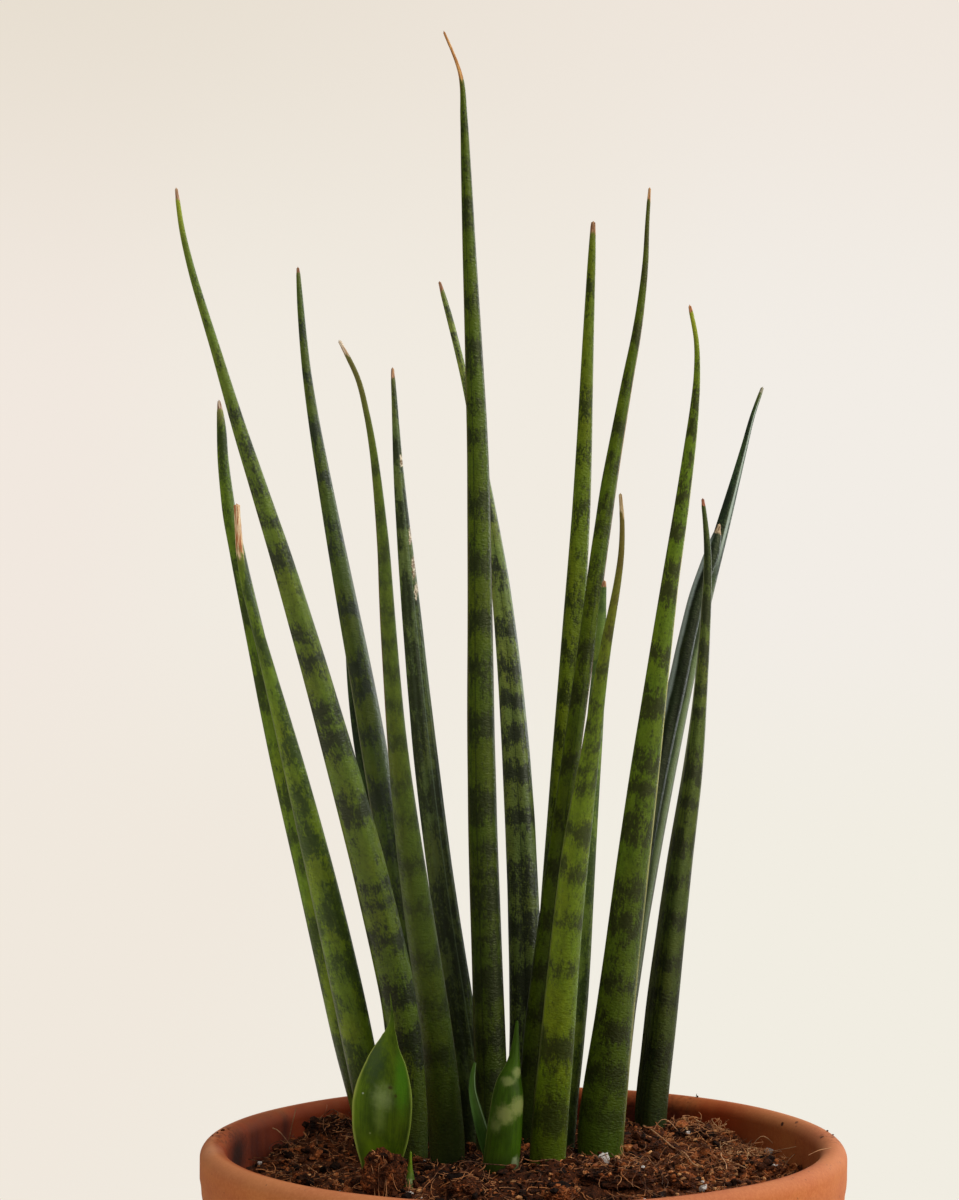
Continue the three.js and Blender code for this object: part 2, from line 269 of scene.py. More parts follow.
def makeStudio():
    scene = bpy.context.scene
    scene.view_settings.view_transform = "Standard"
    material, tree, sockets = newMaterial("studioPaper", specular=0.0)
    where = objectPlace(tree)
    aside, _, height = splitVector(tree, where)
    # the paper's colour changes with side and height: painted light and shade
    high, low, paper = (sweep(tree, aside, *stage[part]) for part in ("high", "low", "middle"))
    paper = blendColors(tree, ramp(tree, height, *stage["lowEnds"]), low, paper)
    paper = blendColors(tree, ramp(tree, height, *stage["highStarts"]), paper, high)
    glowing = ramp(tree, vectorCalc(tree, "LENGTH", where), *stage["shadowsFade"])
    feed(tree, blendColors(tree, glowing, paper, "000000"), sockets["Base Color"])
    feed(tree, blendColors(tree, glowing, "000000", paper), sockets["Emission Color"])
    sockets["Roughness"].default_value = 0.9
    sockets["Emission Strength"].default_value = 1
    edge, cove = stage["floorRadius"], stage["reach"] - stage["coveRadius"]
    floor = makeObject("floor", spinProfile([(0, 0), (edge / 2, 0), (edge, 0)], stage["sides"]))
    outline = arcPoints((cove, stage["coveRadius"]), stage["coveRadius"], -90, 0, stage["coveSteps"])
    outline = [(edge, 0), *outline, (stage["reach"], stage["height"])]
    backdrop = makeObject("backdrop", spinProfile(outline, stage["sides"]))
    for made in (floor, backdrop):
        made.data.materials.append(material)
    for name in ("visible_shadow", "visible_diffuse", "visible_glossy"):
        setattr(backdrop, name, False)

    world = bpy.data.worlds.new("studio")
    scene.world = world
    world.use_nodes = True
    tree = world.node_tree
    background = tree.nodes["Background"].inputs
    direction = addNode(tree, "TexCoord")["Generated"]
    towardWindow = vectorCalc(tree, "DOT_PRODUCT", direction, Vector(sky["window"]).normalized())
    light = blendColors(tree, ramp(tree, towardWindow, -1, 1), sky["far"], sky["side"])
    mirrored = blendColors(tree, ramp(tree, towardWindow, 0.25, 0.95), sky["dimRoom"], sky["side"])
    glossy = addNode(tree, "LightPath")["Is Glossy Ray"]
    feed(tree, blendColors(tree, glossy, light, mirrored), background["Color"])
    background["Strength"].default_value = sky["strength"]
    for name, spec in lamps.items():
        addLamp(name, spec)


addCamera()
makeStudio()
print("studio ready")

# leaves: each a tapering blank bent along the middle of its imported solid

blade = {
    "around": 64,
    "along": 130,
    "slices": 26,
    "start": 0.120,  # height inside the soil that the modelled leaf starts from
    "topMargin": 0.7,  # the highest slice lies this far under the solid's tip, in mm
    "soilLevel": 0.1285,
    "roundness": 0.94,
    "channelDepth": 0.30,
    "channelWidth": 0.6,
    "channelLip": {"height": 0.03, "at": 1.05, "width": 0.13},
    "crowding": 0.5,
    "flutes": 5,
    "fluteDepth": 0.016,
    "tipClosing": 1.3,  # draws the rings together towards the tip
    "lastRing": 0.35,
    "tipPoint": 0.25,  # how far the point stands out of the last ring, in mm
    "shrink": 0.3,
    "wobble": (0.018, 45),  # share of the radius, and how often it changes in a metre
    "wrinkles": (0.28, 900),
    "bandEdge": 2.0,  # half of the run from light to dark, in mm
    "bandDepth": 0.68,
    "bandWaver": {"front": 0.9, "behind": 2.5, "around": 1.3, "length": 14},
    "slantReach": 10,
    "patchLength": 9,
    "patchContrast": 1.6,
}
leafFinish = {
    "rough": 0.4,
    "gloss": 0.36,
    "tint": "f4f8bc",
    "ragged": 1.0,
    "soft": 0.3,
    "paintedLeftLight": 1.5,  # painted light on the side turned away from the window, for light that comes through the leaf
    "paintedShadeSpan": (0.02, 0.14),  # heights above the soil between which the painted shading low down turns into the painted shading high up
    "lineEnd": 0.006,
    "baseShadeColor": "b4baa0",
    "baseShadeUpTo": 0.16,
    # foot: painted shade where the leaf goes into the soil, partly the leaf's own base colour on leaves that
    # set their own
    "foot": "26301a",
    "soilLineShadeSpan": (-0.002, 0.03),
    "frayed": ("74563a", "e6d6b8"),
    "fade": (5, "6a6a2c", 0.5),
    "dryDark": "7c4a30",
    "dryPale": "c99a72",
}


def makeBandsGroup():
    group, given, out = newGroup(
        "leafBands",
        {"Grown": "Vector", "Tone": "Float", "Ragged": "Float", "Soft": "Float",
         "Light": "Color", "Dark": "Color"},
        {"Color": "Color"},
    )

    def mottle(across, along, detail):
        return minus(group, grain(group, given["Grown"], (across, across, along), detail, 0.6), 0.5)

    streaks, blotches, specks = mottle(1200, 330, 3), mottle(330, 240, 3), mottle(2600, 1300, 2)
    wander = plus(group, times(group, streaks, 1.2), times(group, blotches, 1.7), times(group, specks, 1.5))
    level = times(group, minus(group, given["Tone"], 0.5), blade["bandDepth"])
    value = plus(group, level, 0.5, times(group, wander, given["Ragged"]))
    dark = ramp(group, value, minus(group, 0.5, given["Soft"]), plus(group, 0.5, given["Soft"]))
    warm = tinted(group, given["Light"], (1.18, 1.02, 0.75, 1))
    light = blendColors(group, ramp(group, mottle(120, 60, 2), -0.15, 0.2), given["Light"], warm)
    flecks = plus(group, mottle(900, 380, 4), times(group, mottle(3200, 2000, 2), 0.5))
    shade = sweep(group, flecks, ((0.76, 0.77, 0.74, 1), (1.22, 1.2, 1.18, 1)), (-0.28, 0.28))
    feed(group, tinted(group, blendColors(group, dark, light, given["Dark"]), shade), out["Color"])
    return group


def makeSkinGroup():
    group, given, out = newGroup("leafSkin", {"Grown": "Vector"}, {"Height": "Float", "Rough": "Float"})
    ridges = grain(group, given["Grown"], (1050, 1050, 2250))
    pits = grain(group, given["Grown"], 1500, 2, 0.6)
    feed(group, plus(group, ridges, times(group, pits, 0.4)), out["Height"])
    feed(group, ramp(group, pits, 0.3, 0.7, -0.05, 0.08), out["Rough"])
    return group


def makeDryTipGroup():
    group, given, out = newGroup(
        "dryTip",
        {"Grown": "Vector", "Distance": "Float", "Reach": "Float", "Old": "Color", "Fresh": "Color"},
        {"Mask": "Float", "Color": "Color"},
    )
    wander = minus(group, grain(group, given["Grown"], (1100, 1100, 260), 3), 0.5)
    uneven = plus(group, given["Distance"], times(group, wander, times(group, given["Reach"], 1.3)))
    ends = (times(group, given["Reach"], 0.85), times(group, given["Reach"], 1.1))
    feed(group, ramp(group, uneven, *ends, 1.0, 0.0), out["Mask"])
    fibres = grain(group, given["Grown"], (3000, 3000, 250), 3)
    feed(group, sweep(group, fibres, (given["Old"], given["Fresh"]), (0.35, 0.65)), out["Color"])
    return group


def makeMarginGroup():
    group, given, out = newGroup(
        "marginLine", {"Grown": "Vector", "Toward": "Vector", "Width": "Float"}, {"Mask": "Float"})
    side = vectorCalc(group, "NORMALIZE", flattened(group, given["Grown"]))
    away = calc(group, "ARCCOSINE", vectorCalc(group, "DOT_PRODUCT", side, given["Toward"]))
    wander = minus(group, grain(group, given["Grown"], (0, 0, 110), 3), 0.5)
    reach = times(group, given["Width"], plus(group, 1.0, wander))
    feed(group, ramp(group, away, times(group, reach, 0.35), reach, 1.0, 0.0), out["Mask"])
    return group


def makeSpotGroup():
    group, given, out = newGroup(
        "spot",
        {"Place": "Vector", "Centre": "Vector", "Size": "Vector", "Ragged": "Float", "Soft": "Float"},
        {"Mask": "Float"},
    )
    away = vectorCalc(group, "SUBTRACT", given["Place"], given["Centre"])
    away = vectorCalc(group, "LENGTH", vectorCalc(group, "DIVIDE", away, given["Size"]))
    wander = times(group, minus(group, grain(group, given["Place"], 900, 3, 0.6), 0.5), given["Ragged"])
    reach = plus(group, away, wander)
    feed(group, ramp(group, reach, minus(group, 1.0, given["Soft"]), 1.05, 1.0, 0.0), out["Mask"])
    return group


bandsGroup = makeBandsGroup()
skinGroup = makeSkinGroup()
dryTipGroup = makeDryTipGroup()
marginGroup = makeMarginGroup()
spotGroup = makeSpotGroup()


def lineMask(tree, grown, degrees, width):
    turn = math.radians(degrees)
    toward = (math.cos(turn), math.sin(turn), 0)
    return place(tree, marginGroup, Grown=grown, Toward=toward, Width=width)["Mask"]


def spotMask(tree, where, centre, size, ragged, soft):
    return place(tree, spotGroup, Place=where, Centre=inMetres(centre), Size=inMetres(size),
                 Ragged=ragged, Soft=soft)["Mask"]


# light, dark: colours of the bands; where a leaf has no bands, length and balance shape its patches
# bands: height of the middle of each dark band, and half its breadth, in mm
# lines: compass direction, half breadth in radians, colour, strength, and the heights it runs between; some
# are painted sheen, painted highlights or painted shade in grooves
# scars: where the skin is frayed, with half sizes; shade: painted shading low down and high up, as
# brightness factors
# dry: length of the dry tip; fade: how far the colour under it reaches, its colour and its strength
leaves = {
    "leaf_01": {
        "groove": 20, "light": "596d1a", "dark": "2c3318", "slant": 0.06,
        "bands": {302: 1, 296: 1.1, 293: 1.1, 285: 1.8, 279: 1.3, 270: 2.7, 253: 1.6, 246: 2.1,
                  234: 3.0, 227.5: 3.2, 212: 3.3, 194: 1.6, 189: 1.4, 181: 2.3, 168: 3.5, 155: 4.3},
        "lines": ((180, 0.42, "7a5230", 0.6, 115, 275), (180, 0.5, "a89c2e", 0.8, 275, 350),
                  (8, 0.4, "8a9a5a", 0.35)),
        "paintedBaseShade": 0.4, "shade": (1.03, 0.97), "dry": 2.6, "dryPale": "d8b08c",
        "fade": (12, "9aa428", 0.85), "tint": "f6fae6", "gloss": 0.42,
    },
    "leaf_02": {
        "groove": 40, "light": "587015", "dark": "364316", "length": 7.0,
        "lines": ((180, 0.45, "6f7040", 0.5), (0, 0.3, "57422a", 0.5)),
        "paintedBaseShade": 0.3, "shade": (1.5, 1.0), "dry": 2.6, "dryPale": "dcc4a8", "fade": (5, "9a9650", 0.6),
        "tint": "f6fae6",
    },
    "leaf_03": {
        "groove": 30, "light": "69821f", "dark": "40511e", "length": 9.0,
        "lines": ((184, 0.5, "8f9468", 0.6), (0, 0.4, "3e3a26", 0.5, 210, 300),
                  (0, 0.45, "7e8a54", 0.5, 115, 210)),
        "paintedBaseShade": 0.2, "shade": (1.12, 0.86), "dry": 12.5, "dryPale": "f8deb0", "dryDark": "bc7244",
        "shrink": -0.25, "tint": "f6fae6",
    },
    "leaf_04": {
        "groove": -30, "light": "4c5e21", "dark": "2f3725",
        "bands": {326: 2, 314: 1.7, 301: 2.5, 290: 2, 278: 1.4, 273: 1.5, 257: 1.9, 243: 2.2,
                  238: 2, 227: 1.7, 211: 4.4, 199: 2.4, 187: 2.9, 176: 2, 163: 4},
        "lines": ((0, 0.4, "55543c", 0.4), (184, 0.42, "a8a47c", 0.6, 115, 246)),
        "paintedBaseShade": 0.5, "shade": (1.09, 0.92), "dry": 1.6, "tint": "f6fae6", "gloss": 0.36,
    },
    "leaf_05": {
        "groove": -60, "light": "34492a", "dark": "1f2b20", "length": 8.0, "lean": (222, 1.8),
        "lines": ((180, 0.4, "6f7048", 0.6),), "dry": 2.0,
    },
    "leaf_06": {
        "groove": 80, "light": "4c5f1a", "dark": "303c18", "soft": 0.35, "ragged": 0.7,
        "bands": {289: 1.3, 279: 1.3, 271: 1.6, 265: 1.1, 258: 1.2, 251: 1.4, 245: 1.5, 237: 1.1,
                  229: 1.2, 220: 1.3, 211: 1.6, 201: 2.0, 191: 1.4, 179: 1.8, 168: 1.8, 156: 2.3},
        "lines": ((180, 0.5, "7c8464", 0.5, 115, 225), (180, 0.55, "8c6a3a", 0.85, 225, 320),
                  (0, 0.35, "6a5f34", 0.5)),
        "shade": (1.03, 0.97), "dry": 4.0, "dryPale": "ecdcc4", "dryDark": "b49070",
        "fade": (26, "6a5632", 0.6),
    },
    "leaf_07": {
        "groove": -85, "light": "586932", "dark": "2c3518", "length": 9.0, "balance": 0.12, "flutes": 9,
        "fluteDepth": 0.035,
        # the thin pale line is a painted highlight along a ridge, the thin dark one painted shade in a
        # groove
        "lines": ((0, 0.35, "5a6a50", 0.4), (-60, 0.07, "76866a", 0.55), (-42, 0.05, "1a2418", 0.6)),
        "scars": (((-28.8, 23.6, 293.4), (0.5, 2.5, 2.0)), ((-26.6, 23.9, 275.4), (0.5, 2.5, 2.6)),
                  ((-25.8, 23.9, 267.8), (0.62, 2.5, 2.9)), ((-25.3, 24.0, 262.0), (0.5, 2.5, 2.2))),
        "paintedBaseShade": 0.9, "shade": (1.0, 0.91), "dry": 2.8, "tint": "f6fae6", "gloss": 0.46,
    },
    "leaf_08": {
        "groove": 110, "light": "44560d", "dark": "262e10", "slant": -0.05,
        "bands": {374: 1.9, 363: 2.2, 354: 3.9, 342: 1.4, 332: 1.9, 319: 4.1, 307: 1.4, 299: 2.1,
                  282: 3.1, 269: 3.6, 255: 3.1, 243: 2.7, 230: 3.6, 211: 4.0, 200: 1.5, 194: 2.1,
                  188: 3.1, 179: 1.6, 169: 4.0, 156: 3.6, 146: 2},
        # the two thin dark lines are painted shade in grooves
        "lines": ((-113, 0.075, "1c2414", 0.6), (0, 0.42, "4e3a26", 0.8), (180, 0.6, "7c7442", 0.75),
                  (-135, 0.06, "28341c", 0.35)),
        "shade": (0.94, 0.96), "dry": 13.0, "dryPale": "dca868", "dryDark": "9a5a34", "shrink": 0.45,
    },
    "leaf_09": {
        "groove": -100, "light": "687936", "dark": "333823", "ragged": 1.25,
        "bands": {333: 2, 323: 1.5, 310: 2.2, 298: 1.5, 282: 2.2, 266: 1.8, 252: 2.2, 242: 2.2,
                  234: 2.2, 226: 2.9, 216: 3.2, 206: 2.2, 191: 3.4, 179: 4.2, 165: 4.8, 152: 4.8},
        # the thin dark line is painted shade in a groove
        "lines": ((-92, 0.06, "1c241a", 0.6), (0, 0.4, "6c7a5a", 0.4)),
        "shade": (0.89, 1.13), "dry": 3.0, "tint": "f6fae6", "gloss": 0.46,
    },
    "leaf_10": {
        "groove": -70, "light": "5c6f13", "dark": "343d11", "ragged": 1.5,
        "bands": {337: 1.6, 309: 1.5, 297: 1.0, 282: 1.2, 259: 2.2, 246: 2.4, 235: 1.6, 225: 2.2,
                  210: 2.0, 195: 2.5, 180: 2.2, 165: 2.5, 150: 3},
        "lines": ((0, 0.4, "8a7c40", 0.55), (180, 0.4, "7a8a34", 0.5)),
        "shade": (1.07, 0.87), "gloss": 0.28, "dry": 3.2, "dryPale": "c89c74", "dryDark": "6a3c26",
        "shrink": 0.1,
    },
    "leaf_11": {
        "groove": 150, "light": "4a5d0c", "dark": "2f3511",
        "bands": {348: 2.5, 340: 2.5, 325: 3, 312: 1.4, 302: 2.6, 292: 1.7, 282: 1.9, 277: 1.9,
                  266: 1.3, 261: 1.5, 247: 3.1, 236: 2.9, 220: 2.2, 207: 1.5, 194: 2.6, 183: 1.7,
                  170: 1.9, 161: 1.9, 149: 2.6},
        "lines": ((0, 0.42, "8a5c34", 0.7, 115, 290), (0, 0.5, "a87c3e", 0.85, 290, 380),
                  (180, 0.45, "7c6a38", 0.6),
                  # the thin dark line is painted shade in a groove
                  (-75, 0.06, "20301a", 0.45)),
        "shade": (1.05, 0.93), "gloss": 0.26, "dry": 3.5, "dryPale": "dcac74", "fade": (45, "4c4a20", 0.65),
    },
    "leaf_12": {"groove": 130, "light": "7c9440", "dark": "4c6030", "length": 8.0, "shade": (1.25, 1.25),
                "lines": ((0, 0.4, "8a7a50", 0.5),), "fade": (45, "3c5426", 0.7), "dry": 1.5},
    "leaf_13": {
        "groove": 95, "light": "5e7411", "dark": "323b12", "soft": 0.34, "ragged": 0.9, "foot": "34400c",
        "bands": {269: 1.2, 260: 1.1, 252: 1.4, 245: 1.2, 238: 1.0, 233: 1.4, 229: 1.2, 223: 1.3,
                  219: 1.1, 209: 2.3, 200: 1.8, 189: 1.7, 177: 1.4, 158: 3.9, 142: 3.8},
        "lines": ((180, 0.5, "7d8446", 0.7), (0, 0.4, "6f8038", 0.6)),
        "paintedBaseShade": 0.3, "shade": (1.10, 0.91), "dry": 4.5, "dryPale": "ccb48c", "dryDark": "94744a",
        "fade": (40, "6a5424", 0.85),
    },
    "leaf_14": {
        "groove": 125, "light": "556d14", "dark": "323813", "slant": 0.05, "ragged": 1.2, "foot": "3a4c0e",
        "bands": {306: 2, 300: 1.7, 293: 1.3, 286: 1.5, 282: 1.3, 276.5: 3.0, 267: 2.4, 262.5: 2.4,
                  247.5: 2.2, 235: 2.9, 222: 2.2, 216: 2.5, 206: 3.4, 192: 2.5, 184: 3.4, 170: 2.1,
                  159: 2.6, 148: 2.8, 139: 2.6},
        "lines": ((0, 0.5, "b4aa50", 0.85), (180, 0.4, "74703a", 0.55)),
        "shade": (0.98, 1.02), "dry": 1.7, "dryPale": "dc9660", "fade": (13, "989c26", 0.8),
    },
    "leaf_15": {
        "groove": -20, "light": "33482c", "dark": "1f2a20", "length": 9.0, "balance": 0.1,
        # the pale band high up right of the middle is a painted sheen
        "lines": ((0, 0.4, "6f6a48", 0.5), (-56, 0.34, "b4c0b2", 0.8, 270, 330),
                  (-40, 0.6, "7c8a5c", 0.7, 115, 262)),
        "dry": 1.4, "dryPale": "a8a088", "dryDark": "6a6454", "shrink": 0.1,
    },
    "leaf_16": {
        "groove": -130, "light": "222e1e", "dark": "171e17", "length": 9.0, "flutes": 7, "fluteDepth": 0.03,
        # the pale band on the left side is a painted sheen
        "lines": ((205, 0.7, "a4b0aa", 0.85, 222, 274), (0, 0.3, "5c6448", 0.3)),
        "fade": (2, "2c3022", 0.5), "dry": 2.6, "dryPale": "ccb08c", "dryDark": "6e5038",
    },
    "leaf_17": {
        "groove": -160, "ragged": 1.2, "foot": "1a2418", "light": "5b6a2e", "dark": "373b25",
        "flutes": 7, "fluteDepth": 0.025,
        "bands": {273: 2.8, 266: 2.8, 257: 3.2, 247: 3.4, 237: 1.8, 232: 1.3, 222: 1.3, 218: 2.4,
                  210: 1.8, 200: 2.7, 190: 1.5, 181: 2.0, 171: 2.5, 161: 2.7, 148: 3.2},
        "lines": ((0, 0.42, "8a6a44", 0.6), (180, 0.45, "c0c49c", 0.85, 214, 272),
                  # the two thin dark lines are painted shade in grooves
                  (180, 0.4, "8f8f68", 0.6, 115, 214), (-120, 0.08, "1e281c", 0.5),
                  (-105, 0.05, "3a4a30", 0.4)),
        "shade": (0.78, 1.0), "dry": 1.7, "dryPale": "c87a5c", "dryDark": "6e4030",
        "fade": (40, "26341a", 0.62),
    },
}


def crossings(solid, height):
    points = []
    for edge in solid.edges:
        low, high = (v.co for v in edge.verts)
        if (low.z - height) * (high.z - height) < 0:
            points.append(low.lerp(high, (height - low.z) / (high.z - low.z)))
    return points


def spineOf(node, groove, roundness, start):
    # middle line and half breadth of a packed blade, read from level slices
    solid = bmesh.new()
    solid.from_mesh(frame["nodes"][node].data)
    bmesh.ops.remove_doubles(solid, verts=solid.verts, dist=0.01 * mm)
    facing = math.radians(groove)
    toward = Vector((math.cos(facing), math.sin(facing), 0))
    across = Vector((-math.sin(facing), math.cos(facing), 0))
    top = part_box(node)[1].z - blade["topMargin"] * mm
    rows = []
    for height in evenly(start, top, blade["slices"]):
        cut = crossings(solid, height)
        sides = [p.dot(across) for p in cut]
        rows.append((height, min(sides), max(sides), min(p.dot(toward) for p in cut)))
    solid.free()
    spine = []
    for i, (height, left, right, back) in enumerate(rows):
        before, after = rows[max(i - 1, 0)], rows[min(i + 1, len(rows) - 1)]
        rise = after[0] - before[0]
        leanAcross = (after[1] + after[2] - before[1] - before[2]) / 2 / rise
        leanToward = (after[3] - before[3]) / rise
        radius = (right - left) / 2 / math.hypot(1, leanAcross)
        ahead = back + roundness * radius * math.hypot(1, leanToward)
        middle = across * (left + right) / 2 + toward * ahead
        spine.append(Vector((middle.x, middle.y, height, radius)))
    return spine


def smoothAt(points, share):
    # a curve through evenly spaced points
    spot = min(max(share, 0), 1) * (len(points) - 1)
    i = min(int(spot), len(points) - 2)
    t = spot - i
    p0, p1, p2, p3 = (points[min(max(k, 0), len(points) - 1)] for k in (i - 1, i, i + 1, i + 2))
    bend = (2 * p0 - 5 * p1 + 4 * p2 - p3) * t ** 2 + (3 * p1 - p0 - 3 * p2 + p3) * t ** 3
    return 0.5 * (2 * p1 + (p2 - p0) * t + bend)


def bladeBlank(around, along):
    bm = bmesh.new()
    bmesh.ops.create_cone(bm, cap_ends=True, segments=around, radius1=1, radius2=1, depth=1)
    upright = [e for e in bm.edges if abs(e.verts[0].co.z - e.verts[1].co.z) > 0.5]
    bmesh.ops.subdivide_edges(bm, edges=upright, cuts=along - 1, use_grid_fill=True)
    bmesh.ops.poke(bm, faces=[f for f in bm.faces if len(f.verts) == around])
    return bm


def leafSection(angle, share, look):
    # distances toward the channel and across, as shares of the half breadth
    drawn = angle - blade["crowding"] * math.sin(angle)
    lip = blade["channelLip"]
    hollow = blade["channelDepth"] * (1 - share) * math.exp(-(drawn / blade["channelWidth"]) ** 2)
    raised = lip["height"] * math.exp(-((abs(drawn) - lip["at"]) / lip["width"]) ** 2) * (1 - share)
    flutes = look.get("fluteDepth", blade["fluteDepth"]) * math.sin(math.pi * share)
    flutes *= math.cos(look.get("flutes", blade["flutes"]) * drawn + look["seed"] + 1.5 * share)
    out = 1 - hollow + raised + flutes
    return blade["roundness"] * out * math.cos(drawn), out * math.sin(drawn), drawn


def toneAt(look, compass, height):
    # 1 in a dark band, 0 in a light one; the bands wander more on the side away from the front
    side = Vector((math.cos(compass), math.sin(compass), 0))
    waver = blade["bandWaver"]
    spot = side * waver["around"] + Vector((0, look["seed"], height / waver["length"]))
    level = height + (waver["front"] + waver["behind"] * (1 + side.y)) * noise.noise(spot)
    level += look.get("slant", 0) * side.x * blade["slantReach"]
    if "bands" in look:
        inside = max(half - abs(level - middle) for middle, half in look["bands"].items())
        return min(max(0.5 + inside / 2 / blade["bandEdge"], 0), 1)
    length = look.get("length", blade["patchLength"])
    spot = Vector((0.5 * side.x, 0.5 * side.y + look["seed"], level / length))
    return min(max(0.5 + look.get("balance", 0) + blade["patchContrast"] * noise.noise(spot), 0), 1)


def leaned(spine, above, shift):
    # a slight bend to the right, growing from the height above to the tip
    top = spine[-1].z / mm
    for spot in spine:
        spot.x += shift * mm * max(0, (spot.z / mm - above) / (top - above)) ** 2
    return spine


def makeRings(spine, look, along):
    # one ring for each step up the leaf, with its own directions
    facing = math.radians(look["groove"])
    channelSide = Vector((math.cos(facing), math.sin(facing), 0))
    step = 0.004
    rings = []
    length = 0
    for j in range(along + 1):
        share = 1 - (1 - j / along) ** blade["tipClosing"]
        spot = smoothAt(spine, share)
        centre = spot.to_3d()
        up = (smoothAt(spine, share + step) - smoothAt(spine, share - step)).to_3d().normalized()
        toward = (channelSide - up * channelSide.dot(up)).normalized()
        if rings:
            length += (centre - rings[-1]["centre"]).length
        rings.append({"centre": centre, "radius": spot.w, "toward": toward, "across": up.cross(toward),
                      "up": up, "length": length, "share": share})
    dry = look.get("dry", 0) * mm
    for ring in rings:
        ring["fromTip"] = length - ring["length"]
        ring["dried"] = 1 - ring["fromTip"] / dry if ring["fromTip"] < dry else 0
        ring["radius"] *= 1 - look.get("shrink", blade["shrink"]) * ring["dried"] ** 0.7
    rings[-1]["radius"] *= blade["lastRing"]
    return rings


def growBlade(name, look, section, around, along, spine):
    if "lean" in look:
        spine = leaned(spine, *look["lean"])
    rings = makeRings(spine, look, along)
    wobble, wobbleRate = blade["wobble"]
    wrinkle, wrinkleRate = blade["wrinkles"]
    bm = bladeBlank(around, along)
    grown, reach = [], []
    for vert in bm.verts:
        ring = rings[round((vert.co.z + 0.5) * along)]
        pole = math.hypot(vert.co.x, vert.co.y) < 0.5
        toward, across, drawn = section(math.atan2(vert.co.y, vert.co.x), ring["share"], look)
        if pole:
            toward = across = 0
        spot = Vector((look["seed"], math.cos(drawn), ring["length"] * wobbleRate))
        size = 1 + wobble * noise.noise(spot)
        if ring["dried"]:
            spot = Vector((math.cos(drawn), math.sin(drawn), 0)) * 2
            spot += Vector((0, look["seed"], ring["length"] * wrinkleRate))
            size += wrinkle * noise.noise(spot) * ring["dried"]
        size *= ring["radius"]
        spot = ring["centre"] + ring["toward"] * toward * size + ring["across"] * across * size
        if pole and vert.co.z > 0:
            spot += ring["up"] * blade["tipPoint"] * mm
        vert.co = spot
        compass = math.radians(look["groove"]) + drawn
        height = ring["centre"].z
        grown += (ring["radius"] * math.cos(compass), ring["radius"] * math.sin(compass), ring["length"])
        reach += (ring["fromTip"], height - blade["soilLevel"], toneAt(look, compass, height / mm))
    bmesh.ops.recalc_face_normals(bm, faces=bm.faces)
    made = makeObject(name, bm)
    for label, numbers in (("grown", grown), ("reach", reach)):
        made.data.attributes.new(label, "FLOAT_VECTOR", "POINT").data.foreach_set("vector", numbers)
    return made


def leafMaterial(name, look):
    def chosen(key):
        return look.get(key, leafFinish[key])

    material, tree, sockets = newMaterial(name, chosen("gloss"))
    grown = attribute(tree, "grown")
    fromTip, aboveSoil, tone = splitVector(tree, attribute(tree, "reach"))
    moved = vectorCalc(tree, "ADD", grown, (look["seed"], 0, 0))
    color = place(tree, bandsGroup, Grown=moved, Tone=tone, Ragged=chosen("ragged"), Soft=chosen("soft"),
                  Light=look["light"], Dark=look["dark"])["Color"]
    side = splitVector(tree, vectorCalc(tree, "NORMALIZE", flattened(tree, grown)))[0]
    # the side turned away from the window is painted lighter
    paintedLeftSide = ramp(tree, side, -0.95, -0.1, leafFinish["paintedLeftLight"], 1.0)
    paintedHeightShade = ramp(tree, aboveSoil, *leafFinish["paintedShadeSpan"], *look.get("shade", (1, 1)))
    color = tinted(tree, color, times(tree, paintedLeftSide, paintedHeightShade))
    for degrees, width, tint, strength, *span in look["lines"]:
        line = lineMask(tree, grown, degrees, width)
        for height, ends in zip(span, ((0.0, 1.0), (1.0, 0.0))):
            middle = height * mm - blade["soilLevel"]
            below, above = middle - leafFinish["lineEnd"], middle + leafFinish["lineEnd"]
            line = times(tree, line, ramp(tree, aboveSoil, below, above, *ends))
        color = blendColors(tree, times(tree, line, strength), color, tint)
    # painted shade: darker towards the soil, where the leaves shade each other
    baseShadeShare = ramp(tree, aboveSoil, 0.0, leafFinish["baseShadeUpTo"], look.get("paintedBaseShade", 1.0), 0.0)
    color = blendColors(tree, baseShadeShare, color, tinted(tree, color, leafFinish["baseShadeColor"]))
    # painted shade at the soil line
    soilLineShade = ramp(tree, aboveSoil, *leafFinish["soilLineShadeSpan"], 0.6, 0.0)
    color = blendColors(tree, soilLineShade, color, chosen("foot"))
    for scar in look.get("scars", ()):
        frayed = sweep(tree, grain(tree, grown, 1500, 3, 0.7), leafFinish["frayed"], (0.42, 0.6))
        color = blendColors(tree, spotMask(tree, objectPlace(tree), *scar, 2.2, 0.4), color, frayed)
    fadeLength, fadeColor, fadeShare = chosen("fade")
    dry = look["dry"] * mm
    fading = ramp(tree, fromTip, dry * 0.8, dry + fadeLength * mm, fadeShare, 0.0)
    color = blendColors(tree, fading, color, fadeColor)
    tip = place(tree, dryTipGroup, Grown=grown, Distance=fromTip, Reach=dry,
                Old=chosen("dryDark"), Fresh=chosen("dryPale"))
    feed(tree, blendColors(tree, tip["Mask"], color, tip["Color"]), sockets["Base Color"])
    skin = place(tree, skinGroup, Grown=grown)
    rough = plus(tree, leafFinish["rough"], skin["Rough"], times(tree, tip["Mask"], 0.3))
    feed(tree, rough, sockets["Roughness"])
    sockets["Specular Tint"].default_value = linearColor(chosen("tint"))
    addBump(tree, skin["Height"], 0.8, 0.24, sockets)
    return material


leafSlots = {s["node"]: s["material_slot"] for s in frame["record"]["subparts"]}

